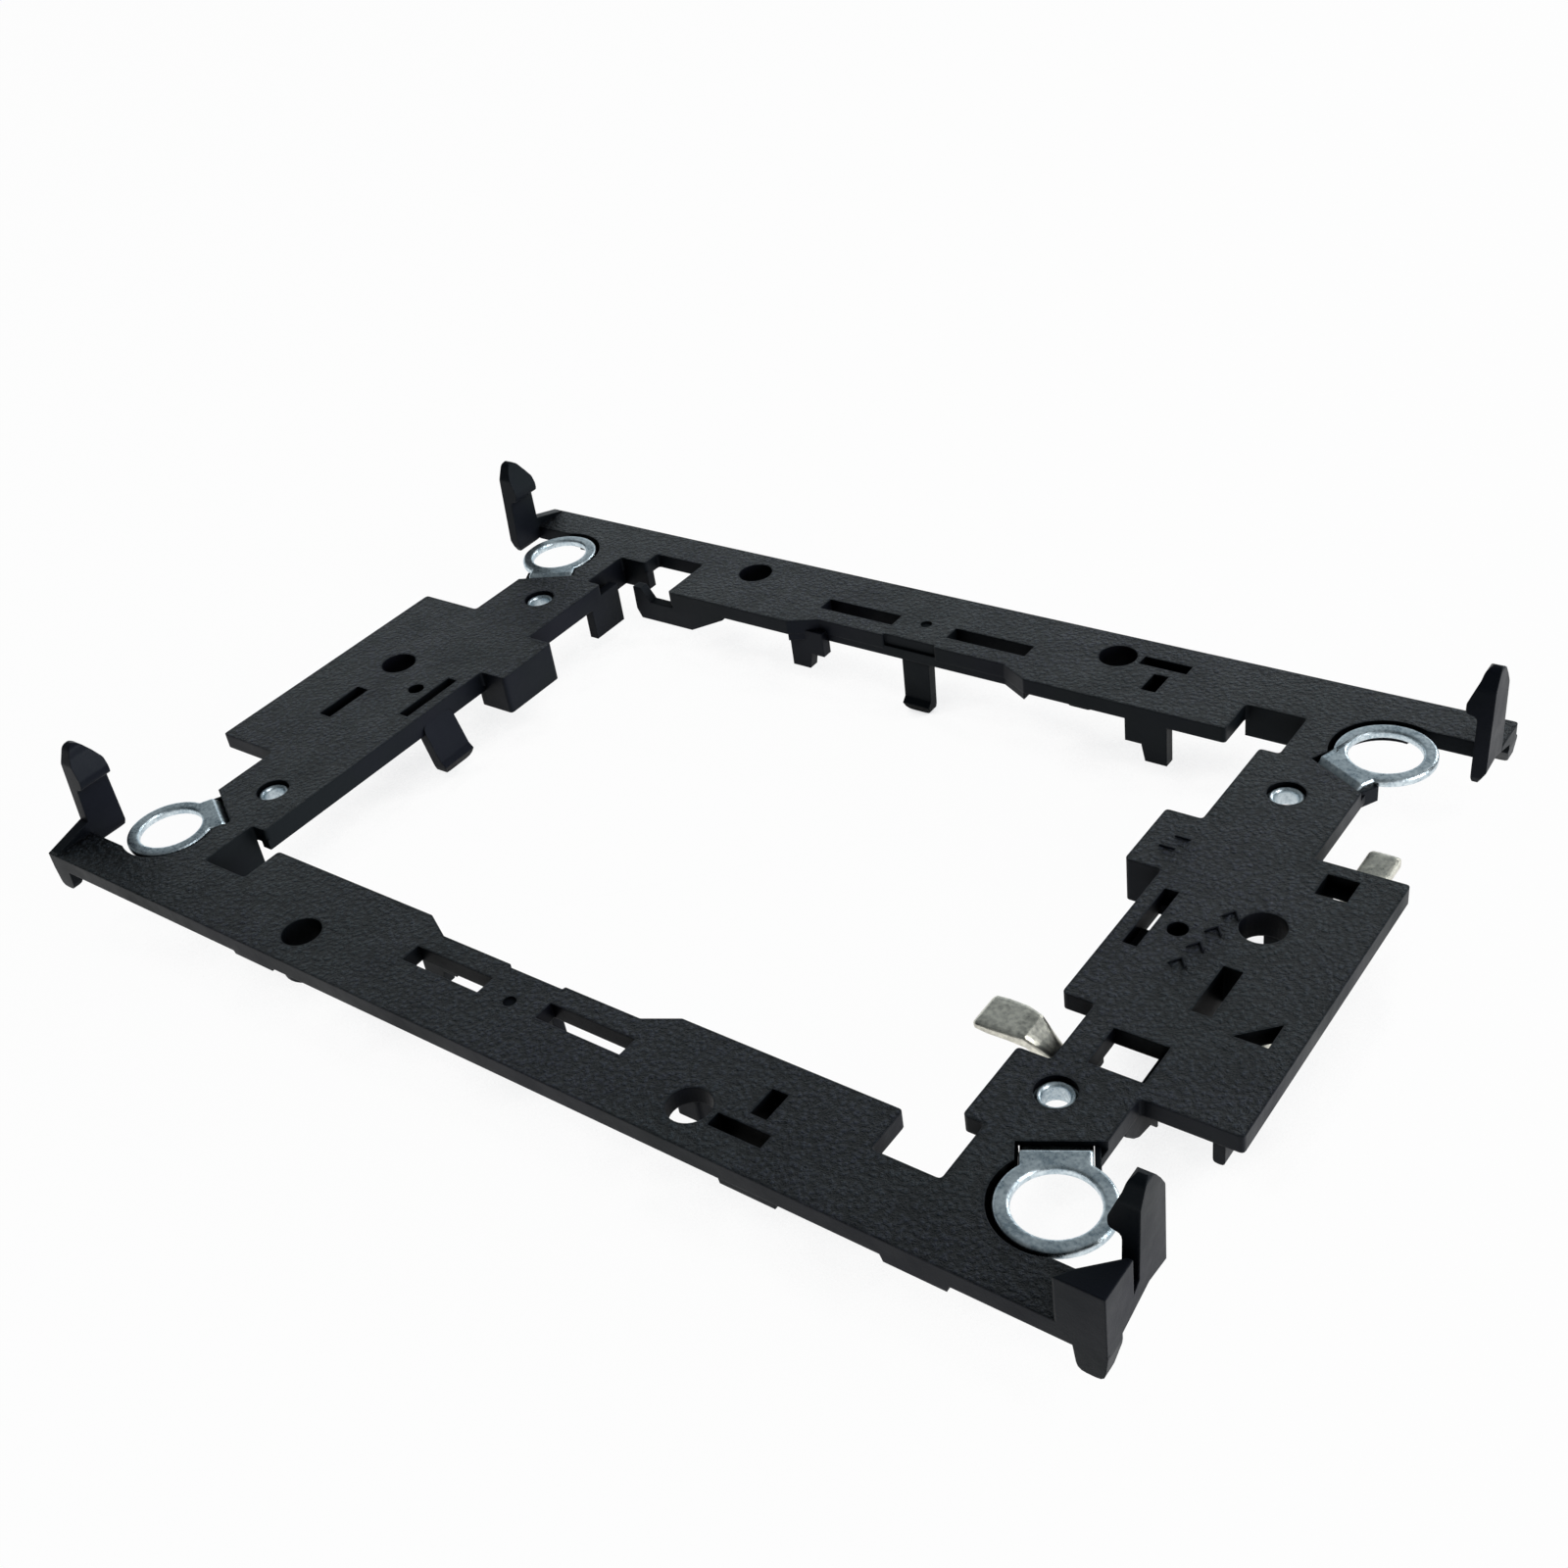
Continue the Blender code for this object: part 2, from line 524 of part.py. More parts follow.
def add_ribs(solids):
    """Stiffening ribs round the ears and along the columns."""
    z = (below(EAR_RIB_DEPTH), below(PLATE - BLEND))
    for name, side, ear in (("right", 1, EAR_RIGHT), ("left", -1, EAR_LEFT)):
        outer, inner = side * (FRAME_X - EAR_RIB_INSET), side * (COLUMN_X - BLEND)
        front, back = ear[0] + EAR_RIB_INSET, ear[1] - EAR_RIB_INSET
        box(f"ear_rib_front_{name}", (inner, outer), (front, front + RIB), z, solids)
        box(f"ear_rib_back_{name}", (inner, outer), (back - RIB, back), z, solids)
        box(f"ear_rib_side_{name}", (outer - side * RIB, outer), (front, back), z, solids)
    z = (below(COLUMN_RIB_DEPTH), below(PLATE - BLEND))
    column_y = WINDOW_Y - NOTCH_INTO_COLUMN[1]
    box("column_rib_left", (-WINDOW_X - RIB, -WINDOW_X), (-column_y, column_y), z, solids)
    back_of_notch = LEVER_Y + LEVER_NOTCH_BACK + RIB
    box("column_rib_right", (WINDOW_X, WINDOW_X + RIB), (back_of_notch, column_y), z, solids)
    stop_x = (WINDOW_X + RIB - BLEND / 4, WINDOW_X + 2 * RIB)
    low, high = SLOT_STOP_GAP
    box("slot_stop_front", stop_x, (low - SLOT_STOP_LENGTH, low), z, solids)
    box("slot_stop_back", stop_x, (high, high + SLOT_STOP_LENGTH), z, solids)
    half, slope = RELIEF_LENGTH / 2, RELIEF_SLOPE
    edge = WINDOW_Y + FIT / 6
    deep = edge + RELIEF_DEPTH
    ridge = [(half + slope, edge), (half, deep), (-half, deep), (-half - slope, edge)]
    ridge += [(x, y + RIB) for x, y in reversed(ridge)]
    for side_y in (-1, 1):
        outline = [(x, side_y * y) for x, y in ridge]
        prism("relief_rib", outline, (below(RELIEF_RIB_DEPTH), below(PLATE - BLEND)), "Z", solids)
    behind = EAR_HOLE_Y + EAR_HOLE / 2 + BLEND / 2
    wall_z = (below(EAR_WALL_DEPTH), below(PLATE - BLEND))
    box("ear_wall", (COLUMN_X - EAR_WALL[0], COLUMN_X + EAR_WALL[1]), (behind, behind + RIB), wall_z, solids)


def add_pads(solids):
    """Pads along the rails' outer edges, and a peg behind each right rail hole."""
    root = below(PLATE - BLEND)
    for side_y in (-1, 1):
        for setback, inset, depth in zip(PAD_SETBACK, PAD_INSET, PAD_DEPTH):
            low = WINDOW_X - setback
            high = low + PAD_LENGTH
            bottom = below(depth)
            profile = [(low, root), (low + PAD_SLOPE, bottom), (high - PAD_SLOPE, bottom), (high, root)]
            edge = FRAME_Y - inset
            prism("rail_pad", profile, (side_y * (edge - PAD_WIDTH), side_y * edge), "Y", solids)
        left = WINDOW_X - PEG_SETBACK - PEG[0] / 2
        middle = side_y * (FRAME_Y - RAIL_SLOT_INSET)
        peg_z = (below(PEG_DEPTH), root)
        peg = rounded(rectangle((left + PEG[0] / 2, middle + PEG[1] / 2), PEG), OUTER_ROUND)
        prism("rail_peg", peg, peg_z, "Z", solids)


def add_notch_walls(solids):
    """Deep walls beside the corner notches, along the rail and along the column."""
    rail_x = WINDOW_X - NOTCH_INTO_RAIL[0]
    notch_y = WINDOW_Y + NOTCH_INTO_RAIL[1]
    notch_x = WINDOW_X + NOTCH_INTO_COLUMN[0]
    column_y = WINDOW_Y - NOTCH_INTO_COLUMN[1]
    for name, (side_x, side_y) in CORNERS.items():
        depth = NOTCH_WALL_DEPTH_FRONT_LEFT if name == "front_left" else NOTCH_WALL_DEPTH
        z = (below(depth), below(PLATE - BLEND))
        inner = rail_x + SIDE_WINDOW[0] if name == "back_left" else rail_x
        x = (side_x * inner, side_x * (notch_x + RIB))
        y = (side_y * notch_y, side_y * (notch_y + RIB))
        box(f"notch_wall_rail_{name}", x, y, z, solids)
        x = (side_x * notch_x, side_x * (notch_x + RIB))
        y = (side_y * column_y, side_y * (notch_y + BLEND))
        box(f"notch_wall_column_{name}", x, y, z, solids)


def add_tab_blocks(solids, cuts):
    """Deep locating blocks on the columns, hollow from below."""
    for name, side, y in (("right", 1, TAB_RIGHT_Y), ("left", -1, TAB_LEFT_Y)):
        inner, outer = side * (WINDOW_X - TAB_REACH), side * (WINDOW_X + RIB)
        span = (y - TAB_LENGTH / 2, y + TAB_LENGTH / 2)
        plan = rounded(rectangle(((inner + outer) / 2, y), (TAB_REACH + RIB, TAB_LENGTH)), OUTER_ROUND)
        prism(f"tab_block_{name}", plan, (below(TAB_DEPTH), below(PLATE - BLEND)), "Z", solids)
        hollow_y = (span[0] + RIB, span[1] - RIB)
        hollow_x = (inner + side * RIB, outer + side * BLEND)
        box(f"tab_hollow_{name}", hollow_x, hollow_y, (below(TAB_DEPTH + BLEND), below(PLATE)), cuts)


def leg_profile(face, inward, lean, reach):
    """Side view of a long leg: (distance from the middle, z). Its hook points to the window."""
    foot = below(reach)
    hook = foot + LEG_HOOK_HEIGHT
    root = below(PLATE - BLEND)
    inner = face + inward * lean
    return [
        (face, root), (inner, hook), (inner + inward * LEG_HOOK, hook - LEG_HOOK),
        (inner, foot), (inner - inward * LEG * 0.8, foot), (face - inward * LEG, root),
    ]


def leg_front(middle, width, reach):
    """Front view of a long leg, with a round foot."""
    low, high, foot, root = middle - width / 2, middle + width / 2, below(reach), below(PLATE - BLEND)
    return rounded([(low, root), (low, foot), (high, foot), (high, root)], LEG_ROUND)


def add_legs(solids):
    for side_y in (-1, 1):
        profile = leg_profile(side_y * (WINDOW_Y + RELIEF_DEPTH + NICK_DEPTH), -side_y, RAIL_LEG_LEAN, RAIL_LEG_REACH)
        front = leg_front(RAIL_LEG_X, RAIL_LEG_WIDTH, RAIL_LEG_REACH)
        crossed("rail_leg", front, (side_y * WINDOW_Y, side_y * FRAME_Y), profile, (-RAIL_SLOT_X, RAIL_SLOT_X), solids)
        for x, side in zip(CLIP_X, (1, -1)):
            add_clip(x, side, side_y, solids)
    for side_x in (-1, 1):
        profile = leg_profile(side_x * WINDOW_X, -side_x, COLUMN_LEG_LEAN, COLUMN_LEG_REACH)
        front = leg_front(COLUMN_LEG_Y, COLUMN_LEG_WIDTH, COLUMN_LEG_REACH)
        span = (side_x * (WINDOW_X - TAB_REACH), side_x * COLUMN_X)
        crossed("column_leg", profile, (-WINDOW_Y, WINDOW_Y), front, span, solids)


def add_clip(x, side, side_y, solids):
    """A stepped clip on the rail's inner edge that holds the processor package."""
    into_slope = (RELIEF_LENGTH / 2 + RELIEF_SLOPE - abs(x)) / RELIEF_SLOPE
    face = WINDOW_Y + RELIEF_DEPTH * min(max(into_slope, 0.0), 1.0)
    low, high = x - CLIP_WIDTH / 2, x + CLIP_WIDTH / 2
    inner = low if side > 0 else high
    step = inner + side * CLIP_STEP
    outer = high if side > 0 else low
    root, shoulder, tip = below(PLATE - BLEND), below(CLIP_DEPTH), below(CLIP_TIP_DEPTH)
    profile = [(inner, root), (inner, shoulder), (step, shoulder), (step + side * BLEND, tip), (outer, tip), (outer, root)]
    prism("clip", profile, (side_y * face, side_y * (face + LEG)), "Y", solids)


def add_side_leg(solids):
    """The bar and the leg at the window's back left corner. The bar's left end stands free in the side window."""
    root, low, shelf = below(PLATE - BLEND), below(SIDE_BAR_DEPTH), below(SIDE_BAR_SHELF)
    left = -WINDOW_X + NOTCH_INTO_RAIL[0] - SIDE_BAR_OVERHANG
    right = left + SIDE_BAR_LENGTH
    under = -WINDOW_X + NOTCH_INTO_RAIL[0] + SIDE_WINDOW[1] + BLEND
    profile = [
        (left, TOP - BLEND), (left, low + RIB), (left + RIB / 2, low), (right, low),
        (right + SIDE_BAR_SLOPE, below(PLATE + BLEND)), (right + SIDE_BAR_SLOPE, root), (under, root), (under, shelf),
        (left + 2 * RIB, shelf), (left + RIB, TOP - BLEND),
    ]
    prism("side_bar", profile, (WINDOW_Y, WINDOW_Y + RIB), "Y", solids)
    y = (WINDOW_Y + SIDE_LEG_Y[0], WINDOW_Y + SIDE_LEG_Y[1])
    box("side_leg", (-WINDOW_X - RIB, -WINDOW_X), y, (below(SIDE_LEG_DEPTH), root), solids)


def crossed(name, across_y, span_y, across_x, span_x, solids):
    """What an (x, z) profile pushed along Y and a (y, z) profile pushed along X have in common."""
    shape = prism(name, across_y, span_y, "Y", solids)
    mask = prism(name + "_mask", across_x, span_x, "X", solids)
    boolean(shape, "INTERSECT", tool=mask)
    bake(shape)
    bpy.data.objects.remove(mask, do_unlink=True)
    return shape


def add_feet(solids, cuts):
    """Feet flush with the corners, tapered to a round tip, and the slope under each arm's end."""
    root, bottom = below(PLATE - BLEND), below(FOOT_DEPTH)
    for name, (side_x, side_y) in CORNERS.items():
        outer = side_x * FRAME_X
        inner = outer - side_x * FOOT_LENGTH
        side_view = [
            (outer, root), (outer, below(PLATE)), (outer - side_x * FOOT_DRAFT, bottom),
            (inner + side_x * FOOT_DRAFT, bottom), (inner, below(PLATE)), (inner, root),
        ]
        front = side_y * FRAME_Y
        back = front - side_y * FOOT_WIDTH
        knee = below(PLATE + FOOT_ROOT)
        end_view = [
            (front, root), (front, bottom), (front - side_y * FOOT_TIP, bottom), (back, knee), (back, root),
        ]
        reach_y = (front + side_y * BLEND, back - side_y * BLEND)
        reach_x = (outer + side_x * BLEND, inner - side_x * BLEND)
        crossed(f"foot_{name}", rounded(side_view, 2 * OUTER_ROUND), reach_y, end_view, reach_x, solids)
        ends = (side_y * (FRAME_Y - FOOT_WIDTH), side_y * (ARM_Y - POST_WIDTH - BLEND))
        corners = []
        for y, depth in zip(ends, END_SLOPE_TOP):
            fall = (PLATE - depth) / END_SLOPE_RUN
            corners.append((outer + side_x * RIB, y, below(depth) + fall * RIB))
            corners.append((outer - side_x * 2 * END_SLOPE_RUN, y, below(depth) - fall * 2 * END_SLOPE_RUN))
            corners.append((outer + side_x * RIB, y, below(depth) - fall * 2 * END_SLOPE_RUN))
        hull(f"end_slope_{name}", corners, cuts)


def post_outline(front):
    """The posts seen from the side: (y, z), leaning at the front, with a domed crown."""
    profile = [(front, below(PLATE))]
    profile += [(front + share_y * POST_WIDTH, TOP + share_z * POST_HEIGHT) for share_y, share_z in POST_SIDE]
    profile.append((front + POST_WIDTH, below(PLATE)))
    return rounded(profile, 2 * OUTER_ROUND, steps=2)


def add_latch(name, side_x, side_y, solids):
    """A hooked post that stands past the arm's inner edge, its nose towards the ring."""
    outer = side_x * FRAME_X
    inner = outer - side_x * POST
    top, root = TOP + POST_HEIGHT, below(PLATE)
    tip = inner - side_x * NOSE_REACH
    nose = TOP + NOSE_HEIGHT
    hook = [
        (outer, root), (outer, top - CROWN / 2), (outer - side_x * CROWN / 2, top), (inner + side_x * CROWN, top),
        (inner, top - CROWN), (inner - side_x * CROWN / 3, top - 2.5 * CROWN), (tip, nose + NOSE_TIP),
        (tip, nose + NOSE_TIP / 8), (inner, nose), (inner, root),
    ]
    front = min(side_y * ARM_Y, side_y * (ARM_Y - POST_WIDTH))
    span_y = (front - BLEND, front + POST_WIDTH + BLEND)
    span_x = (outer + side_x * BLEND, tip - side_x * BLEND)
    crossed(f"latch_{name}", rounded(hook, 2 * OUTER_ROUND), span_y, post_outline(front), span_x, solids)


def add_ramp(side_y, solids):
    """A low ramp from the arm's corner up to the post, on the left side only."""
    post = side_y * (ARM_Y - (POST_WIDTH / 2))
    y = side_y * FRAME_Y
    profile = [(y, below(PLATE - BLEND)), (y, TOP), (side_y * ARM_Y, TOP + RAMP_HEIGHT), (post, TOP + RAMP_HEIGHT)]
    profile.append((post, below(PLATE - BLEND)))
    prism("ramp", profile, (-FRAME_X, POST - FRAME_X), "X", solids)


def add_corner_block(solids):
    """The three sided block in front of the front right latch, with a slit beside the post."""
    x, y = FRAME_X, -FRAME_Y
    back = y + BLOCK[1]
    plan = [(x - BLOCK[0], y), (x, y), (x, back), (x - BLEND, back), (x - BLOCK[0] * 0.8, y + BLOCK[1] * 0.3)]
    prism("corner_block", plan, (below(PLATE - BLEND), TOP + BLOCK_HEIGHT), "Z", solids)
    low, high = SLIT_FLOOR
    front, behind = back - BLEND, BLEND - ARM_Y
    floor = [(front, below(PLATE)), (front, TOP + low), (back, TOP + low), (behind, TOP + high), (behind, below(PLATE))]
    prism("slit_floor", floor, (x - POST, x), "X", solids)


def add_lever_mounts(solids, cuts):
    """Two open lugs that hold the lever's rod, the guide for its arm, and a short leg."""
    notch_x = WINDOW_X + LEVER_NOTCH_REACH
    root = below(PLATE - BLEND)
    front, back = LEVER_Y - LUG_HALF_WIDTH, LEVER_Y + LUG_HALF_WIDTH
    low = notch_x + FIT
    box("inner_lug", (low, low + LUG), (front, back), (LEVER_Z - LUG_DROP[0], root), solids)
    foot = LEVER_Z - LUG_DROP[1]
    profile = [(LEVER_Y - LUG_NOSE[0][0], root)] + [(LEVER_Y - reach, below(depth)) for reach, depth in LUG_NOSE]
    profile += [(LEVER_Y - ROD, foot), (LEVER_Y + ROD, foot), (back, LEVER_Z), (back, root)]
    high = COLUMN_X - FIT / 6
    prism("outer_lug", rounded(profile, OUTER_ROUND), (high - LUG, high), "X", solids)
    bore = [(LEVER_Y + u, LEVER_Z + v) for u, v in circle((0, 0), ROD_BORE, 24)]
    span = (notch_x - LUG, COLUMN_X + 2 * LUG)
    prism("rod_bore", bore, span, "X", cuts)
    mouth = (LEVER_Y - LUG_MOUTH / 2, LEVER_Y + LUG_MOUTH / 2)
    box("rod_mouth", span, mouth, (foot - LUG, LEVER_Z), cuts)
    y = (EAR_RIGHT[1] - GUIDE_LENGTH, EAR_RIGHT[1])
    depth = LEVER_DEPTH + ROD / 2
    for side in (-1, 1):
        inner = ARM_X + side * (LEVER_HANDLE[0] / 2 + FIT)
        box("arm_guide", (inner, inner + side * GUIDE), y, (below(depth), root), solids)
    gap = LEVER_HANDLE[0] / 2 + FIT
    gap_y = (EAR_RIGHT[1] - EAR_RIB_INSET - 2 * RIB, EAR_RIGHT[1] + RIB)
    box("arm_gap", (ARM_X - gap, ARM_X + gap), gap_y, (below(depth), below(PLATE)), cuts)
    outer = FRAME_X - EAR_LEG_INSET[0]
    inner, bottom = outer - EAR_LEG[0], below(EAR_LEG_DEPTH)
    front = EAR_RIGHT[0] + EAR_LEG_INSET[1]
    leg = rounded([(inner, root), (inner, bottom), (outer, bottom), (outer, root)], OUTER_ROUND)
    prism("ear_leg", leg, (front, front + EAR_LEG[1]), "Y", solids)


def cut_ring_pockets(cuts):
    """A pocket with a ledge for each ring, the recess under the plate for its tab, the eyelet's hole."""
    over = (below(4 * PLATE), TOP + PLATE)
    for name, (side_x, side_y) in CORNERS.items():
        centre = ring_centre(side_x, side_y)
        along, across = tab_axes(side_x, side_y)
        pocket = (below(SHEET + FIT), TOP + PLATE)
        cylinder(f"pocket_{name}", centre, RING_RADIUS + POCKET_GAP, pocket, cuts)
        cylinder(f"pocket_hole_{name}", centre, RING_RADIUS - LEDGE, over, cuts)
        half = TAB_HALF_WIDTH + FIT
        open_end = TAB_HALF_WIDTH + RING_RADIUS
        side = side_x * side_y
        upper = (below(SHEET), TOP + PLATE)
        for far, span in ((open_end, upper), (half, over)):
            mouth = [(0, -half), (TAB_EDGE, -half), (TAB_EDGE, far), (0, far)]
            corners = [centre + along * u - across * v * side for u, v in mouth]
            prism(f"tab_mouth_{name}", [tuple(c) for c in corners], span, "Z", cuts)
        end = EYELET_DISTANCE + TAB_HALF_WIDTH + FIT
        recess = [(TAB_EDGE - FIT, -half), (end, -half), (end, half), (TAB_EDGE - FIT, half)]
        corners = [centre + along * u + across * v for u, v in recess]
        depth = (below(TAB_DROP + SHEET + 3 * RIB), below(TAB_COVER))
        prism(f"tab_recess_{name}", [tuple(c) for c in corners], depth, "Z", cuts)
        hole = eyelet_centre(side_x, side_y)
        cylinder(f"eyelet_hole_{name}", hole, EYELET_RADIUS + SEAT, over, cuts, segments=32)


def cut_gate_marks(cuts):
    """Marks of the moulding gates: faint on the rails, deep on the columns."""
    faint, deep = (below(GATE_DEPTH), TOP + PLATE), (below(COLUMN_GATE_DEPTH), TOP + PLATE)
    for side in (-1, 1):
        cylinder("gate_mark", (0, side * (FRAME_Y - GATE_INSET)), GATE / 2, faint, cuts, segments=16)
        cylinder("gate_mark", (side * (WINDOW_X + COLUMN_GATE_INSET), 0), COLUMN_GATE / 2, deep, cuts, segments=16)


def build_carrier(collection, solids, cuts):
    loops = [plate_outline(), window_outline()] + plate_holes()
    place = Matrix.Translation((0, 0, TOP - PLATE / 2))
    frame = outline_to_mesh("carrier_frame", loops, PLATE / 2, place, collection)
    add_wells(solids, cuts)
    add_ribs(solids)
    add_pads(solids)
    add_notch_walls(solids)
    add_tab_blocks(solids, cuts)
    add_legs(solids)
    add_side_leg(solids)
    add_feet(solids, cuts)
    for name, (side_x, side_y) in CORNERS.items():
        add_latch(name, side_x, side_y, solids)
    for side_y in (-1, 1):
        add_ramp(side_y, solids)
    add_corner_block(solids)
    add_lever_mounts(solids, cuts)
    cut_ring_pockets(cuts)
    cut_gate_marks(cuts)
    boolean(frame, "UNION", tools=solids)
    boolean(frame, "DIFFERENCE", tools=cuts)
    bake(frame)
    return frame


# Ring plate: a washer with a tab that steps down and runs under the moulding to the eyelet
def ring_outline():
    half = TAB_HALF_WIDTH
    start = math.asin(half / RING_RADIUS)
    turns = RING_POINTS - 8
    points = []
    for i in range(turns + 1):
        angle = start + (2 * math.pi - 2 * start) * i / turns
        points.append((RING_RADIUS * math.cos(angle), RING_RADIUS * math.sin(angle)))
    for i in range(17):
        angle = -math.pi / 2 + math.pi * i / 16
        points.append((EYELET_DISTANCE + half * math.cos(angle), half * math.sin(angle)))
    return points


def build_ring_plate(name, side_x, side_y, collection):
    shank = EYELET_BORE / 2 + EYELET_WALL + SEAT
    loops = [
        ring_outline(), circle((0, 0), RING_BORE / 2, RING_POINTS), circle((EYELET_DISTANCE, 0), shank, 24),
    ]
    plate = outline_to_mesh("ring_plate_" + name, loops, SHEET / 2, Matrix.Identity(4), collection)
    bend_end = TAB_EDGE - FIT / 6
    bend_start = bend_end - TAB_BEND
    bm = bmesh.new()
    bm.from_mesh(plate.data)
    for place in (bend_start, bend_end):
        geometry = bm.verts[:] + bm.edges[:] + bm.faces[:]
        bmesh.ops.bisect_plane(bm, geom=geometry, dist=1e-7, plane_co=(place, 0, 0), plane_no=(1, 0, 0))
    middle = (bend_start + bend_end) / 2
    for vert in bm.verts:
        if vert.co.x > middle:
            vert.co.z -= TAB_DROP
    bmesh.ops.recalc_face_normals(bm, faces=bm.faces)
    bm.to_mesh(plate.data)
    bm.free()
    along = tab_axes(side_x, side_y)[0]
    centre = ring_centre(side_x, side_y)
    plate.rotation_euler.z = math.atan2(along.y, along.x)
    plate.location = (centre.x, centre.y, TOP - SHEET / 2)
    return plate


# Eyelet: a hollow rivet, turned from its section
def build_eyelet(name, side_x, side_y, collection):
    bore = EYELET_BORE / 2
    shank = bore + EYELET_WALL
    lip_low = SEAT - TAB_DROP
    lip_top = lip_low + EYELET_LIP
    seat = -(TAB_DROP + SHEET + SEAT)
    foot = seat - EYELET_LIP
    curl = EYELET_LIP / 3
    section = [
        (EYELET_RADIUS - curl, lip_top), (EYELET_RADIUS, lip_top - curl), (EYELET_RADIUS, lip_low), (shank, lip_low),
        (shank, seat), (EYELET_RADIUS, seat), (EYELET_RADIUS, foot + curl), (EYELET_RADIUS - curl, foot), (bore, foot),
    ]
    for i in range(5):
        turn = math.pi / 2 * i / 4
        flare = (bore + EYELET_FLARE[0] * (1 - math.cos(turn)), lip_top - EYELET_FLARE[1] * (1 - math.sin(turn)))
        section.append(flare)
    bm = bmesh.new()
    verts = [bm.verts.new((r, 0, z)) for r, z in section]
    for i in range(len(verts)):
        bm.edges.new((verts[i], verts[(i + 1) % len(verts)]))
    mesh = bpy.data.meshes.new("eyelet_" + name)
    bm.to_mesh(mesh)
    bm.free()
    eyelet = bpy.data.objects.new("eyelet_" + name, mesh)
    collection.objects.link(eyelet)
    screw = eyelet.modifiers.new("Turn", "SCREW")
    screw.axis = "Z"
    screw.steps = 32
    screw.render_steps = 32
    screw.use_merge_vertices = True
    screw.merge_threshold = 1e-6
    hole = eyelet_centre(side_x, side_y)
    eyelet.location = (hole.x, hole.y, TOP)
    return eyelet


# Release lever: one bent rod with a paddle pressed at one end and a flat handle at the other
def section(centre, across, up, half_width, half_height, squareness, count=16):
    """A ring of points between a circle and a rounded rectangle."""
    points = []
    for i in range(count):
        angle = 2 * math.pi * (i + 0.5) / count
        c, s = math.cos(angle), math.sin(angle)
        u = math.copysign(abs(c) ** (2 / squareness), c) * half_width
        v = math.copysign(abs(s) ** (2 / squareness), s) * half_height
        points.append(Vector(centre) + Vector(across) * u + Vector(up) * v)
    return points


def lever_rings():
    """Sections from the paddle to the handle, measured from the rod's axis."""
    rise = LEVER_DEPTH - PADDLE_DEPTH
    width, thick, length = PADDLE
    tip = WINDOW_X - PADDLE[2] - BLEND
    neck = tip + length
    rod_start = neck + PADDLE_NECK
    paddle = (
        (tip, 0.86, 0.5, rise), (tip + 0.05 * length, 0.96, 0.8, rise), (tip + 0.3 * length, 1.0, 1.0, rise),
        (tip + 0.7 * length, 0.96, 1.1, rise), (neck, 0.8, 1.4, rise * 0.9),
    )
    rings = [section((x, 0, z), (0, 1, 0), (0, 0, 1), width / 2 * w, thick / 2 * t, 5) for x, w, t, z in paddle]
    rings.append(section((neck + 0.4 * PADDLE_NECK, 0, rise * 0.5), (0, 1, 0), (0, 0, 1), 1.25 * ROD, 0.85 * ROD, 3))
    rings.append(section((neck + 0.8 * PADDLE_NECK, 0, rise * 0.08), (0, 1, 0), (0, 0, 1), 1.03 * ROD, ROD, 2.2))
    bend_x = ARM_X - LEVER_BEND
    for x in (rod_start, (rod_start + bend_x) / 2, bend_x):
        rings.append(section((x, 0, 0), (0, 1, 0), (0, 0, 1), ROD, ROD, 2))
    for i in range(1, 7):
        turn = math.pi / 2 * i / 6
        centre = (bend_x + LEVER_BEND * math.sin(turn), LEVER_BEND * (1 - math.cos(turn)), 0)
        rings.append(section(centre, (-math.sin(turn), math.cos(turn), 0), (0, 0, 1), ROD, ROD, 2))
    end = EAR_RIGHT[1] + LEVER_REACH - LEVER_Y
    width, thick, length = LEVER_HANDLE
    flat = end - length
    handle = (
        (flat - 1.5 * length, 1.0, 1.0, 2), (flat - 0.4 * length, 1.0, 1.0, 2), (flat, width / LEVER_ROD, 0.62, 4),
        (end - 0.06 * length, width / LEVER_ROD, thick / LEVER_ROD, 5), (end, 0.93 * width / LEVER_ROD, 0.8 * thick / LEVER_ROD, 5),
    )
    for y, w, t, square in handle:
        rings.append(section((ARM_X, y, 0), (-1, 0, 0), (0, 0, 1), ROD * w, ROD * t, square))
    return rings


def build_lever(collection):
    bm = bmesh.new()
    rings = [[bm.verts.new(p) for p in ring] for ring in lever_rings()]
    for first, second in zip(rings, rings[1:]):
        count = len(first)
        for i in range(count):
            k = (i + 1) % count
            bm.faces.new((first[i], first[k], second[k], second[i]))
    bm.faces.new(rings[0][::-1])
    bm.faces.new(rings[-1])
    lever = add_mesh("release_lever", bm, collection)
    lever.location = (0, LEVER_Y, LEVER_Z)
    return lever


def main():
    clear_scene()
    parts = new_collection("processor_carrier")
    solids = new_collection("frame_additions")
    cuts = new_collection("frame_cutters")
    plastic = principled("moulded_black", (0.024, 0.027, 0.032), 0.55, 0.0)
    zinc = principled("zinc_plated_steel", (0.62, 0.67, 0.72), 0.32, 1.0)
    steel = principled("plated_lever_steel", (0.58, 0.55, 0.51), 0.25, 1.0)
    finish(build_carrier(parts, solids, cuts), plastic)
    for name, (side_x, side_y) in CORNERS.items():
        finish(build_ring_plate(name, side_x, side_y, parts), zinc)
        eyelet = build_eyelet(name, side_x, side_y, parts)
        bake(eyelet)
        finish(eyelet, zinc)
    finish(build_lever(parts), steel)
    for tool in list(solids.objects) + list(cuts.objects):
        tool.hide_render = True
        tool.display_type = "WIRE"
    bpy.context.view_layer.update()


main()
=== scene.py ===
# Looks of the processor carrier: a near black moulding with a fine leather grain on its top face,
# zinc plated rings and eyelets, and a plated steel lever, on a pale floor under soft light.
# Lengths are in metres unless a heading says otherwise.

import math

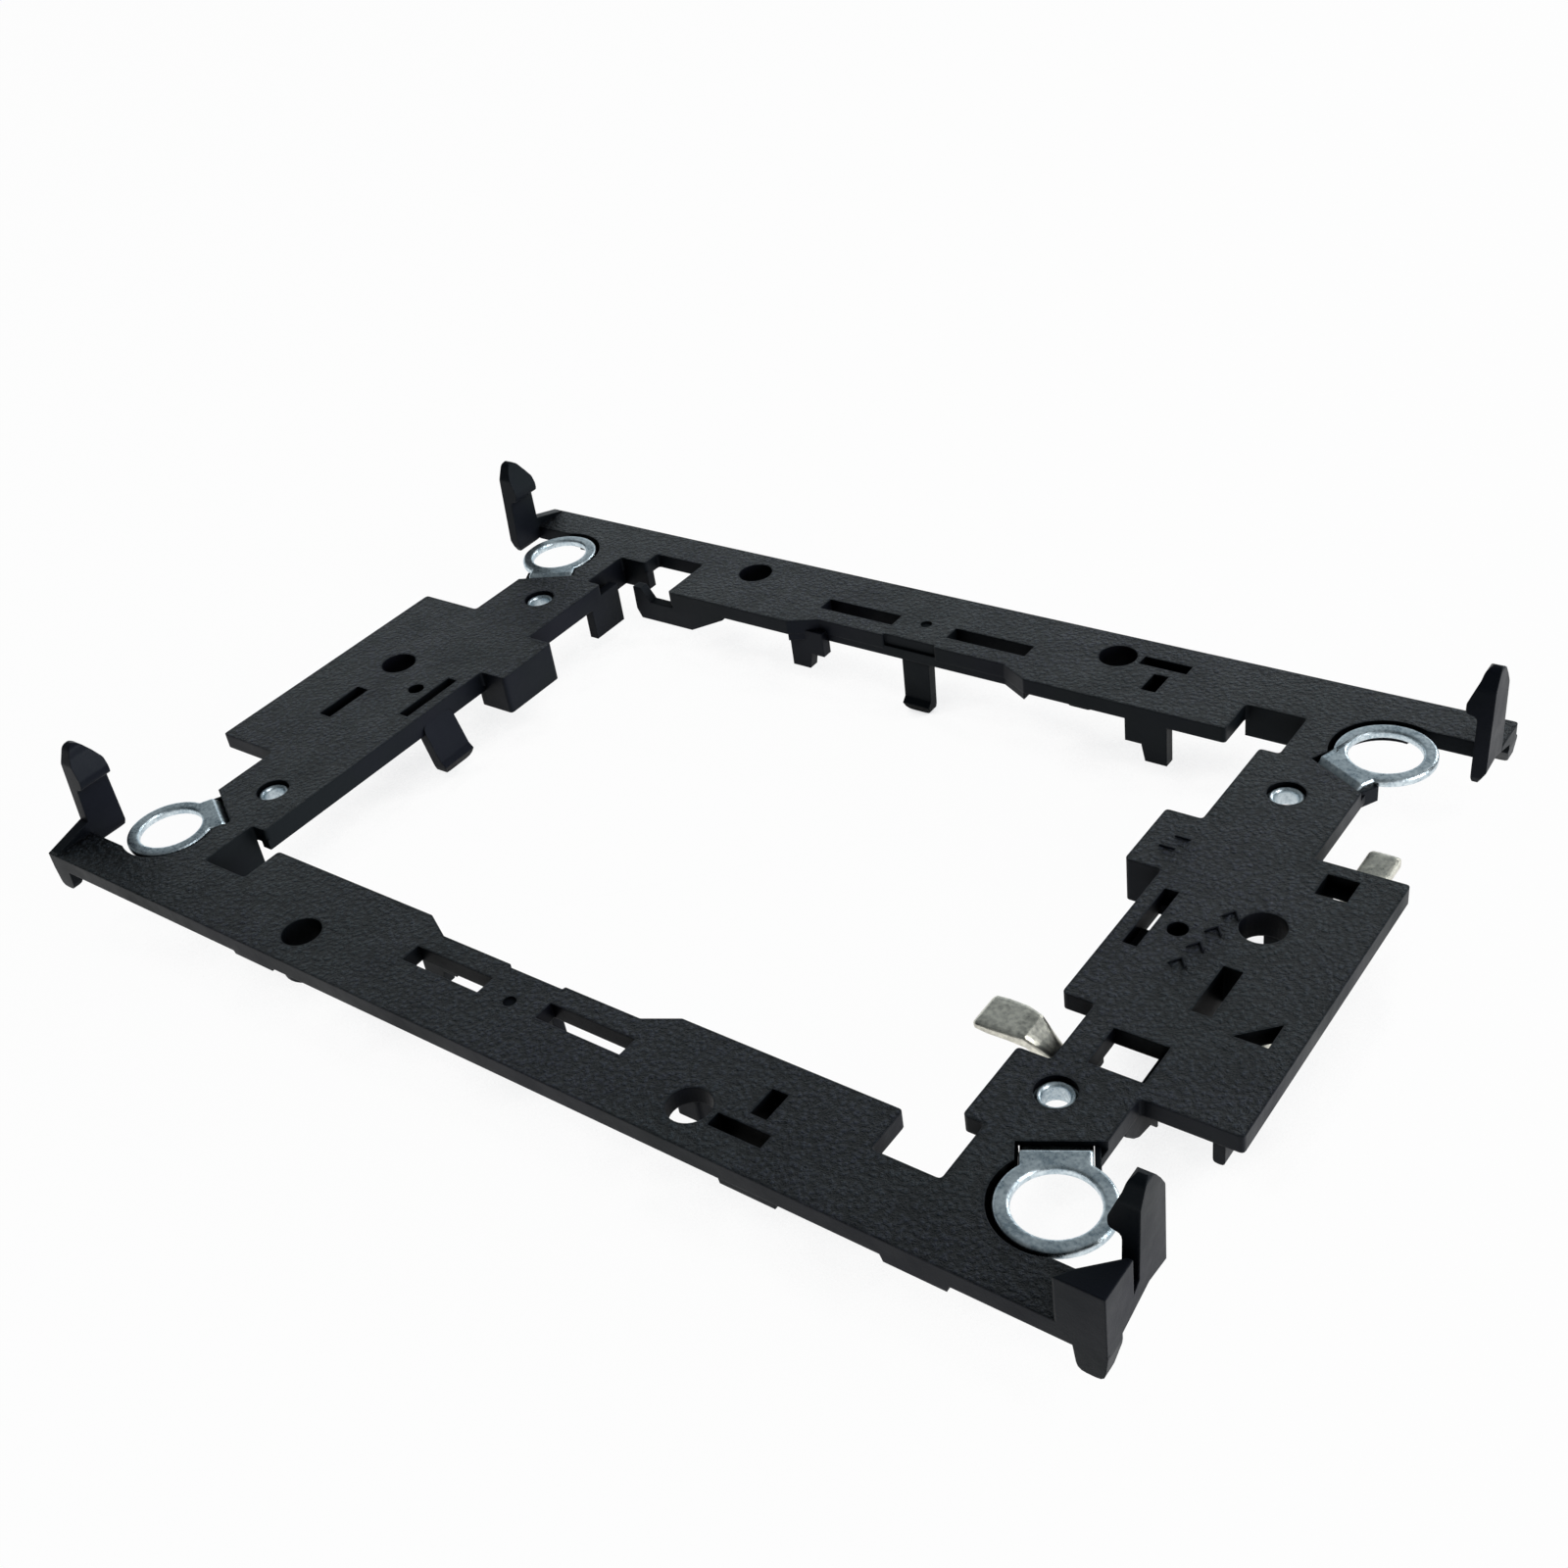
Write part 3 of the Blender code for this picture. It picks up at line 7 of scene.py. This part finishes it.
import bmesh
import bpy
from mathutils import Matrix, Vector


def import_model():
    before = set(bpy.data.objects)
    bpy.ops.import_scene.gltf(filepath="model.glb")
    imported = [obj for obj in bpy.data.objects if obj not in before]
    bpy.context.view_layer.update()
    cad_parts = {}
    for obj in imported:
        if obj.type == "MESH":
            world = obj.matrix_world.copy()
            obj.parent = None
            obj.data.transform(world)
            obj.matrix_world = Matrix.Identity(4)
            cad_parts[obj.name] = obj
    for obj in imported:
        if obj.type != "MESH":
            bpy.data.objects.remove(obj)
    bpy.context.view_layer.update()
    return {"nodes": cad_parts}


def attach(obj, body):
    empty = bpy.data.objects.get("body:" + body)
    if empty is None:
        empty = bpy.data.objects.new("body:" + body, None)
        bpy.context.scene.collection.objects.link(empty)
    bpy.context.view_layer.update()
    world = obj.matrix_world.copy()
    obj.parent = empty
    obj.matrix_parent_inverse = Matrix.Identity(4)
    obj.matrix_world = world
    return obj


MM = 0.001
WHITE = (1.0, 1.0, 1.0)

# Camera, as the photograph was taken: turn in degrees, lens and sensor in millimetres
CAMERA_PLACE = (100.67 * MM, -111.06 * MM, 113.69 * MM)
CAMERA_TURN = (54.605, 8.841, 37.552)
CAMERA_LENS = 41.97
CAMERA_SENSOR = 36.0
CAMERA_SHIFT = (0.0532, 0.0102)
CAMERA_CLIP = (0.005, 20.0)

# Lamps that point at the origin: place, size, and power in watts
KEY_LAMP = ((0.60, 0.05, 0.22), (0.35, 0.25), 2.3)
BACK_LAMP = ((0.18, 0.64, 0.30), (0.24, 0.10), 0.9)

# Room: a pale band low down, and above it a dim room that is paler on the window's side.
# A ramp is: from, to, value at from, value at to, which are 0 and 1 where left out.
WINDOW_SIDE = (0.62, 0.74, 0.26)
ROOM_TINT = (0.88, 0.96, 1.0)
BAND_BY_HEIGHT = (0.10, 0.42, 1.1, 0.0)
BAND_BY_DEPTH = (-0.6, 0.2, 0.15, 1.0)
ROOM_BY_HEIGHT = (0.45, 0.80, 0.38, 0.29)
ROOM_BY_SIDE = (-0.6, 0.6, 0.20, 1.0)

# Floor: a pale sheet that glows to the camera, with a painted shadow where the object closes it in
FLOOR_SIZE = 3.0
FLOOR_DROP = 0.02 * MM
FLOOR_GREY = (0.80, 0.80, 0.80, 1.0)
FLOOR_ROUGHNESS = 0.9
FLOOR_GLOW = 0.97
SHADOW_GREY = (0.45, 0.46, 0.48)
SHADOW_REACH = 10 * MM
SHADOW_RAMP = (0.0, 0.50)

# Frame
CORNERS = ("front_left", "front_right", "back_right", "back_left")
TOP = 9.2 * MM
TOP_BAND = 0.1 * MM
TOP_FACING = 0.8

# Samples of the bevel node and of the two occlusion nodes
BEVEL_SAMPLES = 4
HOLLOW_SAMPLES = 3
SHADOW_SAMPLES = 4

# Moulding: colours, a painted highlight along the edges, and the painted shade and dullness down in the
# hollows.
# A rim is: radius, turn where it starts, turn where it is full.
PLASTIC_DARK = (0.0064, 0.0088, 0.0112)
PLASTIC_BLUE = (0.0074, 0.0083, 0.0140)
# Pale grey of the painted highlight along the edges
PLASTIC_EDGE_SHEEN = (0.050, 0.058, 0.062)
PLASTIC_TINT = (0.86, 0.95, 1.0, 1.0)
PLASTIC_IOR = 1.5
EDGE = 0.22 * MM
TOP_RIM = (2.5 * EDGE, 0.01, 0.20)
SHEEN_RIM = (EDGE, 0.04, 0.35)
SHEEN_SHARE = 0.35
HOLLOW_REACH = 6 * MM
# Painted shade in the hollows: a colour scale by openness
HOLLOW_SHADE = (0.45, 0.90, 0.04, 1.0)
HOLLOW_SHINE = (0.40, 0.85, 0.05, 1.0)
WALL_SHINE = 0.10
TOP_SHINE = 0.25

# Moulding: leather grain
GRAIN = 0.49 * MM
GRAIN_HEIGHT = 0.25 * MM
WARP_SIZE = 1.2 * GRAIN
WARP_REACH = 0.8 * GRAIN
PEBBLE_SMOOTH = 0.5
PEBBLE_RAMP = (0.1, 0.7, 1.0, 0.0)
PEBBLE_SHARE = 0.65
FOLD_RAMP = (0.0, 0.18, 0.0, 1.0)
FOLD_SHARE = 0.35

# Moulding: noises, each as size, detail, roughness
FOLD_NOISE = (0.55 * GRAIN, 3.0, 0.55)
FINE_NOISE = (0.16 * MM, 2.0, 0.6)
PATCH_NOISE = (14 * MM, 3.0)
SHEEN_BREAK_NOISE = (1.1 * MM, 3.0)
SMEAR_NOISE = (5 * MM, 4.0, 0.6)
RIPPLE_NOISE = (2.6 * MM, 2.0)

# Moulding: what the noises do
PATCH_RAMP = (0.40, 0.60)
SHEEN_BREAK_RAMP = (0.35, 0.70)
RIDGE_FINE = 0.3
# Painted shade in the grain's valleys and painted highlight on its ridges
GRAIN_SHADE_AND_HIGHLIGHT = (0.40, 0.95, 0.15, 3.2)
WALL_ROUGHNESS = (0.3, 0.7, 0.34, 0.50)
TOP_ROUGHNESS = (0.3, 0.7, 0.36, 0.46)
RIPPLE_HEIGHT = 0.22
FINE_HEIGHT = 0.05

# Plain raised marks on the right column, in millimetres: chevrons in a row, and two bars
CHEVRONS = ((48.75, -4.4), (49.2, -1.9), (49.65, 0.6), (50.1, 3.1))
BARS = ((41.0, 9.9), (41.7, 11.7))

# Sizes of the marks
MARK_HEIGHT = 0.12 * MM
MARK_STROKE = 0.24 * MM
CHEVRON = (1.5 * MM, 1.0 * MM)
CHEVRON_THICK = MARK_STROKE * 1.6
BAR_LENGTH = 1.5 * MM
BLOCK_EDGE = 0.04 * MM
BLOCK_SEGMENTS = 2

# Plated steel: light, dark, blotch, roughness, height of the grain
ZINC = ((0.78, 0.87, 0.91), (0.38, 0.47, 0.53), 0.8 * MM, 0.27, 0.012 * MM)
NICKEL = ((0.82, 0.80, 0.70), (0.44, 0.43, 0.38), 1.1 * MM, 0.30, 0.002 * MM)

# Plated steel: clouds and spangle have their size in blotches, pits and scratches in metres
CLOUD_NOISE = (2.4, 5.0, 0.65, 0.4)
SPANGLE_NOISE = (0.4, 3.0, 0.6)
CLOUD_SHARE = 0.55
SPANGLE_SHARE = 0.45
MOTTLE_RAMP = (0.40, 0.60)
PIT_NOISE = (0.22 * MM, 3.0, 0.6)
PIT_HEIGHT = 0.6
MOTTLE_HEIGHT = 0.9
SCRATCH_NOISE = (1.6 * MM, 3.0, 0.7)
SCRATCH_TURN = (0, 0, 0.6)
SCRATCH_STRETCH = (1.0, 14.0, 1.0)
SCRATCH_ROUGHNESS = 0.08

# Plated steel: painted highlight on the rims, painted shade in the hollows, and the spread of its roughness
STEEL_EDGE = 0.22 * MM
STEEL_RIM = (0.30 * MM, 0.02, 0.22)
RIM_HIGHLIGHT = 0.9
RIM_POLISH = 0.45
STEEL_HOLLOW_REACH = 2.5 * MM
STEEL_HOLLOW_SHADE = (0.05, 0.45, 0.20, 1.0)
ROUGH_FROM = (0.38, 0.62)
ROUGH_SPREAD = (0.8, 1.25)

# Rounded edges: width, segments, least angle in degrees
RING_EDGES = (0.30 * MM, 4, 60)
EYELET_EDGES = (0.05 * MM, 2, 40)
WELD_REACH = 1e-6
FLAT_ANGLE = 0.5

# Tab mouths, from the ring's centre: the strips of moulding beside the tab, angle in degrees
RING = (52.5 * MM, 31.8 * MM)
TAB_ANGLE = 28.6
TAB_SIDE = (2.86 * MM, 3.35 * MM)
TAB_SPAN = (3.6 * MM, 6.3 * MM)
STRIP_DEPTH = (2.2 * MM, 0.55 * MM)


class Tree:
    """Short ways to add and join the nodes of one material or world."""

    def __init__(self, owner):
        owner.use_nodes = True
        self.nodes = owner.node_tree.nodes
        self.links = owner.node_tree.links

    def put(self, value, socket):
        """Links an output to the socket, or sets a number or colour on it."""
        if isinstance(value, bpy.types.NodeSocket):
            self.links.new(value, socket)
        else:
            socket.default_value = value

    def add(self, kind, inputs=None, **settings):
        """A new node with these settings and inputs."""
        node = self.nodes.new("ShaderNode" + kind)
        for name, value in settings.items():
            setattr(node, name, value)
        for name, value in (inputs or {}).items():
            self.put(value, node.inputs[name])
        return node

    def math(self, operation, first, second=0.0, clamp=False):
        """One sum on one or two numbers."""
        node = self.add("Math", {0: first, 1: second}, operation=operation, use_clamp=clamp)
        return node.outputs[0]

    def weigh(self, first, first_share, second, second_share):
        """Two numbers, each times its share, added up."""
        left = self.math("MULTIPLY", first, first_share)
        right = self.math("MULTIPLY", second, second_share)
        return self.math("ADD", left, right)

    def remap(self, value, low, high, to_low=0.0, to_high=1.0):
        """A ramp from one span of numbers to another, held at both ends."""
        sockets = {"Value": value, "From Min": low, "From Max": high, "To Min": to_low, "To Max": to_high}
        return self.add("MapRange", sockets).outputs["Result"]

    def mix(self, factor, first, second):
        """From the first colour to the second."""
        node = self.add("Mix", data_type="RGBA")
        self.put(factor, node.inputs[0])
        self.put(colour(first), node.inputs[6])
        self.put(colour(second), node.inputs[7])
        return node.outputs[2]

    def blend(self, factor, first, second):
        """The same for two numbers."""
        node = self.add("Mix", data_type="FLOAT")
        self.put(factor, node.inputs[0])
        self.put(first, node.inputs[2])
        self.put(second, node.inputs[3])
        return node.outputs[0]

    def vector(self, operation, first, second):
        """One sum on two vectors."""
        return self.add("VectorMath", {0: first, 1: second}, operation=operation).outputs[0]

    def scale(self, base, factor):
        """A colour or vector times a number."""
        return self.add("VectorMath", {0: base, "Scale": factor}, operation="SCALE").outputs[0]

    def noise(self, place, size, detail=2.0, roughness=0.5, distortion=0.0):
        """Soft random numbers around a half, with lumps of about this size."""
        node = self.add("TexNoise", {"Vector": place, "Scale": 1 / size, "Detail": detail})
        self.put(roughness, node.inputs["Roughness"])
        self.put(distortion, node.inputs["Distortion"])
        return node.outputs["Fac"]

    def openness(self, reach, samples):
        """1 in the open, towards 0 where the surface is closed in."""
        return self.add("AmbientOcclusion", {"Distance": reach}, samples=samples).outputs["AO"]

    def soft_normal(self, radius):
        """The surface's direction, rounded over its edges."""
        return self.add("Bevel", {"Radius": radius}, samples=BEVEL_SAMPLES).outputs[0]

    def bump(self, level, distance, normal, shader):
        """Gives the shader a rough surface."""
        inputs = {"Height": level, "Distance": distance, "Strength": 1.0, "Normal": normal}
        self.put(self.add("Bump", inputs).outputs[0], shader.inputs["Normal"])


def colour(value):
    """An output as it is, or a plain colour with full alpha."""
    return value if isinstance(value, bpy.types.NodeSocket) else (*value, 1.0)


def edge_mask(tree, radius, start, full):
    """How much the surface turns within the radius: 0 on a flat, 1 on an edge."""
    soft = tree.soft_normal(radius)
    flat = tree.add("NewGeometry").outputs["Normal"]
    along = tree.add("VectorMath", {0: soft, 1: flat}, operation="DOT_PRODUCT").outputs["Value"]
    return tree.remap(along, 1.0 - start, 1.0 - full)


def leather_grain(tree, place):
    """Short wrinkles that branch and cross, as etched into a mould: 0 in the valleys, 1 on the ridges."""
    warp = tree.add("TexNoise", {"Vector": place, "Scale": 1 / WARP_SIZE, "Detail": 1.0}).outputs["Color"]
    shift = tree.scale(tree.vector("SUBTRACT", warp, (0.5, 0.5, 0.5)), WARP_REACH)
    warped = tree.vector("ADD", place, shift)
    cells = {"Vector": warped, "Scale": 1 / GRAIN, "Smoothness": PEBBLE_SMOOTH}
    pebble = tree.add("TexVoronoi", cells, feature="SMOOTH_F1").outputs["Distance"]
    wave = tree.math("SUBTRACT", tree.noise(warped, *FOLD_NOISE), 0.5)
    fold = tree.remap(tree.math("ABSOLUTE", wave), *FOLD_RAMP)
    return tree.weigh(tree.remap(pebble, *PEBBLE_RAMP), PEBBLE_SHARE, fold, FOLD_SHARE)


def top_mask(tree, place, normal):
    """1 on the textured top plane, 0 elsewhere and along the plane's edges."""
    height = tree.add("SeparateXYZ", {0: place}).outputs["Z"]
    up = tree.add("SeparateXYZ", {0: normal}).outputs["Z"]
    away = tree.math("ABSOLUTE", tree.math("SUBTRACT", height, TOP))
    on_plane = tree.math("LESS_THAN", away, TOP_BAND)
    plane = tree.math("MULTIPLY", on_plane, tree.math("GREATER_THAN", up, TOP_FACING))
    turned = edge_mask(tree, *TOP_RIM)
    return tree.math("MULTIPLY", plane, tree.math("SUBTRACT", 1.0, turned, clamp=True))


def moulded_plastic(name):
    """Black glass filled plastic: leather grain on the top plane, satin and faintly wavy elsewhere."""
    material = bpy.data.materials.new(name)
    tree = Tree(material)
    shader = tree.nodes["Principled BSDF"]
    coords = tree.add("TexCoord")
    place = coords.outputs["Object"]
    top = top_mask(tree, place, coords.outputs["Normal"])
    grain = leather_grain(tree, place)
    fine = tree.noise(place, *FINE_NOISE)

    # Colour: two near blacks in soft patches, painted highlight on ridges and edges, painted shade in
    # valleys and holes
    patches = tree.remap(tree.noise(place, *PATCH_NOISE), *PATCH_RAMP)
    base = tree.mix(patches, PLASTIC_DARK, PLASTIC_BLUE)
    ridges = tree.math("ADD", grain, tree.math("MULTIPLY", fine, RIDGE_FINE))
    # Painted shade in the grain's valleys, painted highlight on its ridges
    base = tree.scale(base, tree.blend(top, 1.0, tree.remap(ridges, *GRAIN_SHADE_AND_HIGHLIGHT)))
    # Painted highlight: the edges are lightened towards a pale grey, in patches
    sheen_breaks = tree.remap(tree.noise(place, *SHEEN_BREAK_NOISE), *SHEEN_BREAK_RAMP)
    edge_sheen = tree.math("MULTIPLY", edge_mask(tree, *SHEEN_RIM), sheen_breaks)
    base = tree.mix(tree.math("MULTIPLY", edge_sheen, SHEEN_SHARE), base, PLASTIC_EDGE_SHEEN)
    # Painted shade: the colour darkens where the surface is closed in
    open_to = tree.openness(HOLLOW_REACH, HOLLOW_SAMPLES)
    tree.put(tree.scale(base, tree.remap(open_to, *HOLLOW_SHADE)), shader.inputs["Base Color"])

    # Shine: duller on the walls and in the holes
    shine = tree.math("MULTIPLY", tree.remap(open_to, *HOLLOW_SHINE), tree.blend(top, WALL_SHINE, TOP_SHINE))
    tree.put(shine, shader.inputs["Specular IOR Level"])
    shader.inputs["Specular Tint"].default_value = PLASTIC_TINT
    shader.inputs["IOR"].default_value = PLASTIC_IOR

    # Roughness: the walls vary a little more than the grain
    smear = tree.noise(place, *SMEAR_NOISE)
    walls = tree.remap(smear, *WALL_ROUGHNESS)
    grainy = tree.remap(smear, *TOP_ROUGHNESS)
    tree.put(tree.blend(top, walls, grainy), shader.inputs["Roughness"])

    # Bump: the grain on top, a faint flow ripple everywhere, over softened edges
    faint = tree.weigh(tree.noise(place, *RIPPLE_NOISE), RIPPLE_HEIGHT, fine, FINE_HEIGHT)
    level = tree.math("ADD", tree.math("MULTIPLY", grain, top), faint)
    tree.bump(level, GRAIN_HEIGHT, tree.soft_normal(EDGE), shader)
    return material


def plated_steel(name, light, dark, blotch, roughness, grain_height):
    """Metal with clouds of plating, a frosted grain, tumbled scratches, and polished edges with a painted
    highlight.
    """
    material = bpy.data.materials.new(name)
    tree = Tree(material)
    shader = tree.nodes["Principled BSDF"]
    shader.inputs["Metallic"].default_value = 1.0
    place = tree.add("TexCoord").outputs["Object"]
    clouds = tree.noise(place, CLOUD_NOISE[0] * blotch, *CLOUD_NOISE[1:])
    spangle = tree.noise(place, SPANGLE_NOISE[0] * blotch, *SPANGLE_NOISE[1:])
    mottle = tree.weigh(clouds, CLOUD_SHARE, spangle, SPANGLE_SHARE)
    edges = edge_mask(tree, *STEEL_RIM)

    # Colour: light where the plating is thick, with a painted highlight along the edges and painted shade in
    # the hollows
    rim_highlight = tree.math("MULTIPLY", edges, RIM_HIGHLIGHT)
    lightness = tree.math("ADD", tree.remap(mottle, *MOTTLE_RAMP), rim_highlight, clamp=True)
    open_to = tree.openness(STEEL_HOLLOW_REACH, HOLLOW_SAMPLES)
    base = tree.scale(tree.mix(lightness, dark, light), tree.remap(open_to, *STEEL_HOLLOW_SHADE))
    tree.put(base, shader.inputs["Base Color"])

    # Roughness: scratches all one way, and polish along the edges
    stretch = {"Vector": place, "Rotation": SCRATCH_TURN, "Scale": SCRATCH_STRETCH}
    lines = tree.noise(tree.add("Mapping", stretch).outputs[0], *SCRATCH_NOISE)
    spread = [roughness * share for share in ROUGH_SPREAD]
    scratched = tree.math("MULTIPLY", lines, SCRATCH_ROUGHNESS)
    rough = tree.math("ADD", tree.remap(mottle, *ROUGH_FROM, *spread), scratched)
    polish = tree.math("MULTIPLY", edges, roughness * RIM_POLISH)
    tree.put(tree.math("SUBTRACT", rough, polish, clamp=True), shader.inputs["Roughness"])

    # Bump: fine pits over the plating's clouds
    level = tree.weigh(tree.noise(place, *PIT_NOISE), PIT_HEIGHT, mottle, MOTTLE_HEIGHT)
    tree.bump(level, grain_height, tree.soft_normal(STEEL_EDGE), shader)
    return material


def dress(node, material):
    """The finished material on a CAD node, in place of the plain one."""
    node.data.materials.clear()
    node.data.materials.append(material)


def soften(node, width, segments, angle):
    """Real rounded edges on a pressed or turned node."""
    weld = node.modifiers.new("Weld", "WELD")
    weld.merge_threshold = WELD_REACH
    flat = node.modifiers.new("Flats", "DECIMATE")
    flat.decimate_type = "DISSOLVE"
    flat.angle_limit = math.radians(FLAT_ANGLE)
    bevel = node.modifiers.new("Edges", "BEVEL")
    bevel.width = width
    bevel.segments = segments
    bevel.limit_method = "ANGLE"
    bevel.angle_limit = math.radians(angle)
    bevel.use_clamp_overlap = False


def block(name, outline, low, high, material):
    """An upright piece of the moulding with soft edges: (x, y) corners in order, and two heights."""
    bm = bmesh.new()
    face = bm.faces.new([bm.verts.new((x, y, low)) for x, y in outline])
    for part in bmesh.ops.extrude_face_region(bm, geom=[face])["geom"]:
        if isinstance(part, bmesh.types.BMVert):
            part.co.z = high
    bmesh.ops.recalc_face_normals(bm, faces=bm.faces)
    edges = bm.edges[:]
    bmesh.ops.bevel(bm, geom=edges, offset=BLOCK_EDGE, segments=BLOCK_SEGMENTS, affect="EDGES", profile=0.5)
    mesh = bpy.data.meshes.new(name)
    bm.to_mesh(mesh)
    bm.free()
    mesh.materials.append(material)
    piece = bpy.data.objects.new(name, mesh)
    bpy.context.scene.collection.objects.link(piece)
    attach(piece, "carrier")


def make_marks(material):
    """The chevrons and bars, half sunk into the top plane."""
    wide, tall = CHEVRON[0] / 2, CHEVRON[1]
    thick = CHEVRON_THICK
    for number, (x, y) in enumerate(CHEVRONS, 1):
        arms = [(-wide, 0), (0, tall), (wide, 0), (wide, thick), (0, tall + thick), (-wide, thick)]
        outline = [(x * MM + u, y * MM + v) for u, v in arms]
        block(f"chevron_mark_{number}", outline, TOP - MARK_HEIGHT, TOP + MARK_HEIGHT, material)
    for number, (x, y) in enumerate(BARS, 1):
        left, right = x * MM - BAR_LENGTH / 2, x * MM + BAR_LENGTH / 2
        front, back = y * MM - MARK_STROKE / 2, y * MM + MARK_STROKE / 2
        outline = [(left, front), (right, front), (right, back), (left, back)]
        block(f"bar_mark_{number}", outline, TOP - MARK_HEIGHT, TOP + MARK_HEIGHT, material)


def make_tab_strips(material):
    """The moulding closes up beside each tab, so that no light shows past it."""
    angle = math.radians(TAB_ANGLE)
    near, far = TAB_SPAN
    inner, outer = TAB_SIDE
    corners = ((near, inner), (far, inner), (far, outer), (near, outer))
    low, high = TOP - STRIP_DEPTH[0], TOP - STRIP_DEPTH[1]
    for corner in CORNERS:
        side_y = -1 if "front" in corner else 1
        side_x = -1 if "left" in corner else 1
        centre = Vector((side_x * RING[0], side_y * RING[1]))
        along = Vector((-side_x * math.sin(angle), -side_y * math.cos(angle)))
        across = Vector((along.y, -along.x))
        for number, side in enumerate((-1, 1), 1):
            outline = [tuple(centre + along * u + across * (side * v)) for u, v in corners]
            block(f"tab_strip_{corner}_{number}", outline, low, high, material)


def make_camera():
    """The photograph's viewpoint."""
    data = bpy.data.cameras.new("camera")
    camera = bpy.data.objects.new("camera", data)
    bpy.context.scene.collection.objects.link(camera)
    camera.location = CAMERA_PLACE
    camera.rotation_euler = [math.radians(angle) for angle in CAMERA_TURN]
    data.lens = CAMERA_LENS
    data.sensor_width = CAMERA_SENSOR
    data.shift_x, data.shift_y = CAMERA_SHIFT
    data.clip_start, data.clip_end = CAMERA_CLIP
    bpy.context.scene.camera = camera


def area_light(name, place, size, power):
    """A rectangular lamp that points at the origin."""
    data = bpy.data.lights.new(name, "AREA")
    data.shape = "RECTANGLE"
    data.size, data.size_y = size
    data.energy = power
    light = bpy.data.objects.new(name, data)
    bpy.context.scene.collection.objects.link(light)
    light.location = place
    light.rotation_euler = Vector(place).to_track_quat("Z", "Y").to_euler()


def make_world():
    """White to the camera; for light and reflections the pale band and the dim room."""
    world = bpy.data.worlds.new("studio")
    bpy.context.scene.world = world
    tree = Tree(world)
    background = tree.nodes["Background"]
    way = tree.add("TexCoord").outputs["Generated"]
    parts = tree.add("SeparateXYZ", {0: way}).outputs
    up, back = parts["Z"], parts["Y"]
    side = tree.add("VectorMath", {0: way, 1: WINDOW_SIDE}, operation="DOT_PRODUCT").outputs["Value"]
    band = tree.math("MULTIPLY", tree.remap(up, *BAND_BY_HEIGHT), tree.remap(back, *BAND_BY_DEPTH))
    room = tree.math("MULTIPLY", tree.remap(up, *ROOM_BY_HEIGHT), tree.remap(side, *ROOM_BY_SIDE))
    seen = tree.add("LightPath").outputs["Is Camera Ray"]
    tree.put(tree.blend(seen, tree.math("ADD", band, room), 1.0), background.inputs["Strength"])
    tree.put(tree.mix(seen, ROOM_TINT, WHITE), background.inputs["Color"])


def make_floor():
    """A pale sheet that stays white around the object, with its soft shadow mostly painted into the glow."""
    bm = bmesh.new()
    bmesh.ops.create_grid(bm, x_segments=1, y_segments=1, size=FLOOR_SIZE)
    mesh = bpy.data.meshes.new("floor")
    bm.to_mesh(mesh)
    bm.free()
    floor = bpy.data.objects.new("floor", mesh)
    floor.location.z = -FLOOR_DROP
    bpy.context.scene.collection.objects.link(floor)
    material = bpy.data.materials.new("pale_floor")
    tree = Tree(material)
    shader = tree.nodes["Principled BSDF"]
    shader.inputs["Base Color"].default_value = FLOOR_GREY
    shader.inputs["Roughness"].default_value = FLOOR_ROUGHNESS
    shader.inputs["Specular IOR Level"].default_value = 0.0
    # Painted shadow: the glow greys where the object closes the floor in
    open_to = tree.remap(tree.openness(SHADOW_REACH, SHADOW_SAMPLES), *SHADOW_RAMP)
    glow = tree.add("Emission", {"Color": tree.mix(open_to, SHADOW_GREY, WHITE)})
    path = tree.add("LightPath")
    seen = tree.math("ADD", path.outputs["Is Camera Ray"], path.outputs["Is Glossy Ray"])
    seen = tree.math("ADD", seen, path.outputs["Is Transmission Ray"], clamp=True)
    share = tree.math("MULTIPLY", seen, FLOOR_GLOW)
    mixed = tree.add("MixShader", {0: share, 1: shader.outputs[0], 2: glow.outputs[0]})
    tree.put(mixed.outputs[0], tree.nodes["Material Output"].inputs["Surface"])
    mesh.materials.append(material)


def main():
    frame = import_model()
    nodes = frame["nodes"]
    plastic = moulded_plastic("moulded_black")
    zinc = plated_steel("zinc_plate", *ZINC)
    nickel = plated_steel("lever_steel", *NICKEL)
    dress(nodes["carrier_frame"], plastic)
    for corner in CORNERS:
        ring, eyelet = nodes["ring_plate_" + corner], nodes["eyelet_" + corner]
        dress(ring, zinc)
        soften(ring, *RING_EDGES)
        dress(eyelet, zinc)
        soften(eyelet, *EYELET_EDGES)
    dress(nodes["release_lever"], nickel)
    make_marks(plastic)
    make_tab_strips(plastic)
    make_camera()
    make_world()
    make_floor()
    area_light("key", *KEY_LAMP)
    area_light("back", *BACK_LAMP)
    bpy.context.scene.view_settings.view_transform = "Standard"
    bpy.context.view_layer.update()


main()
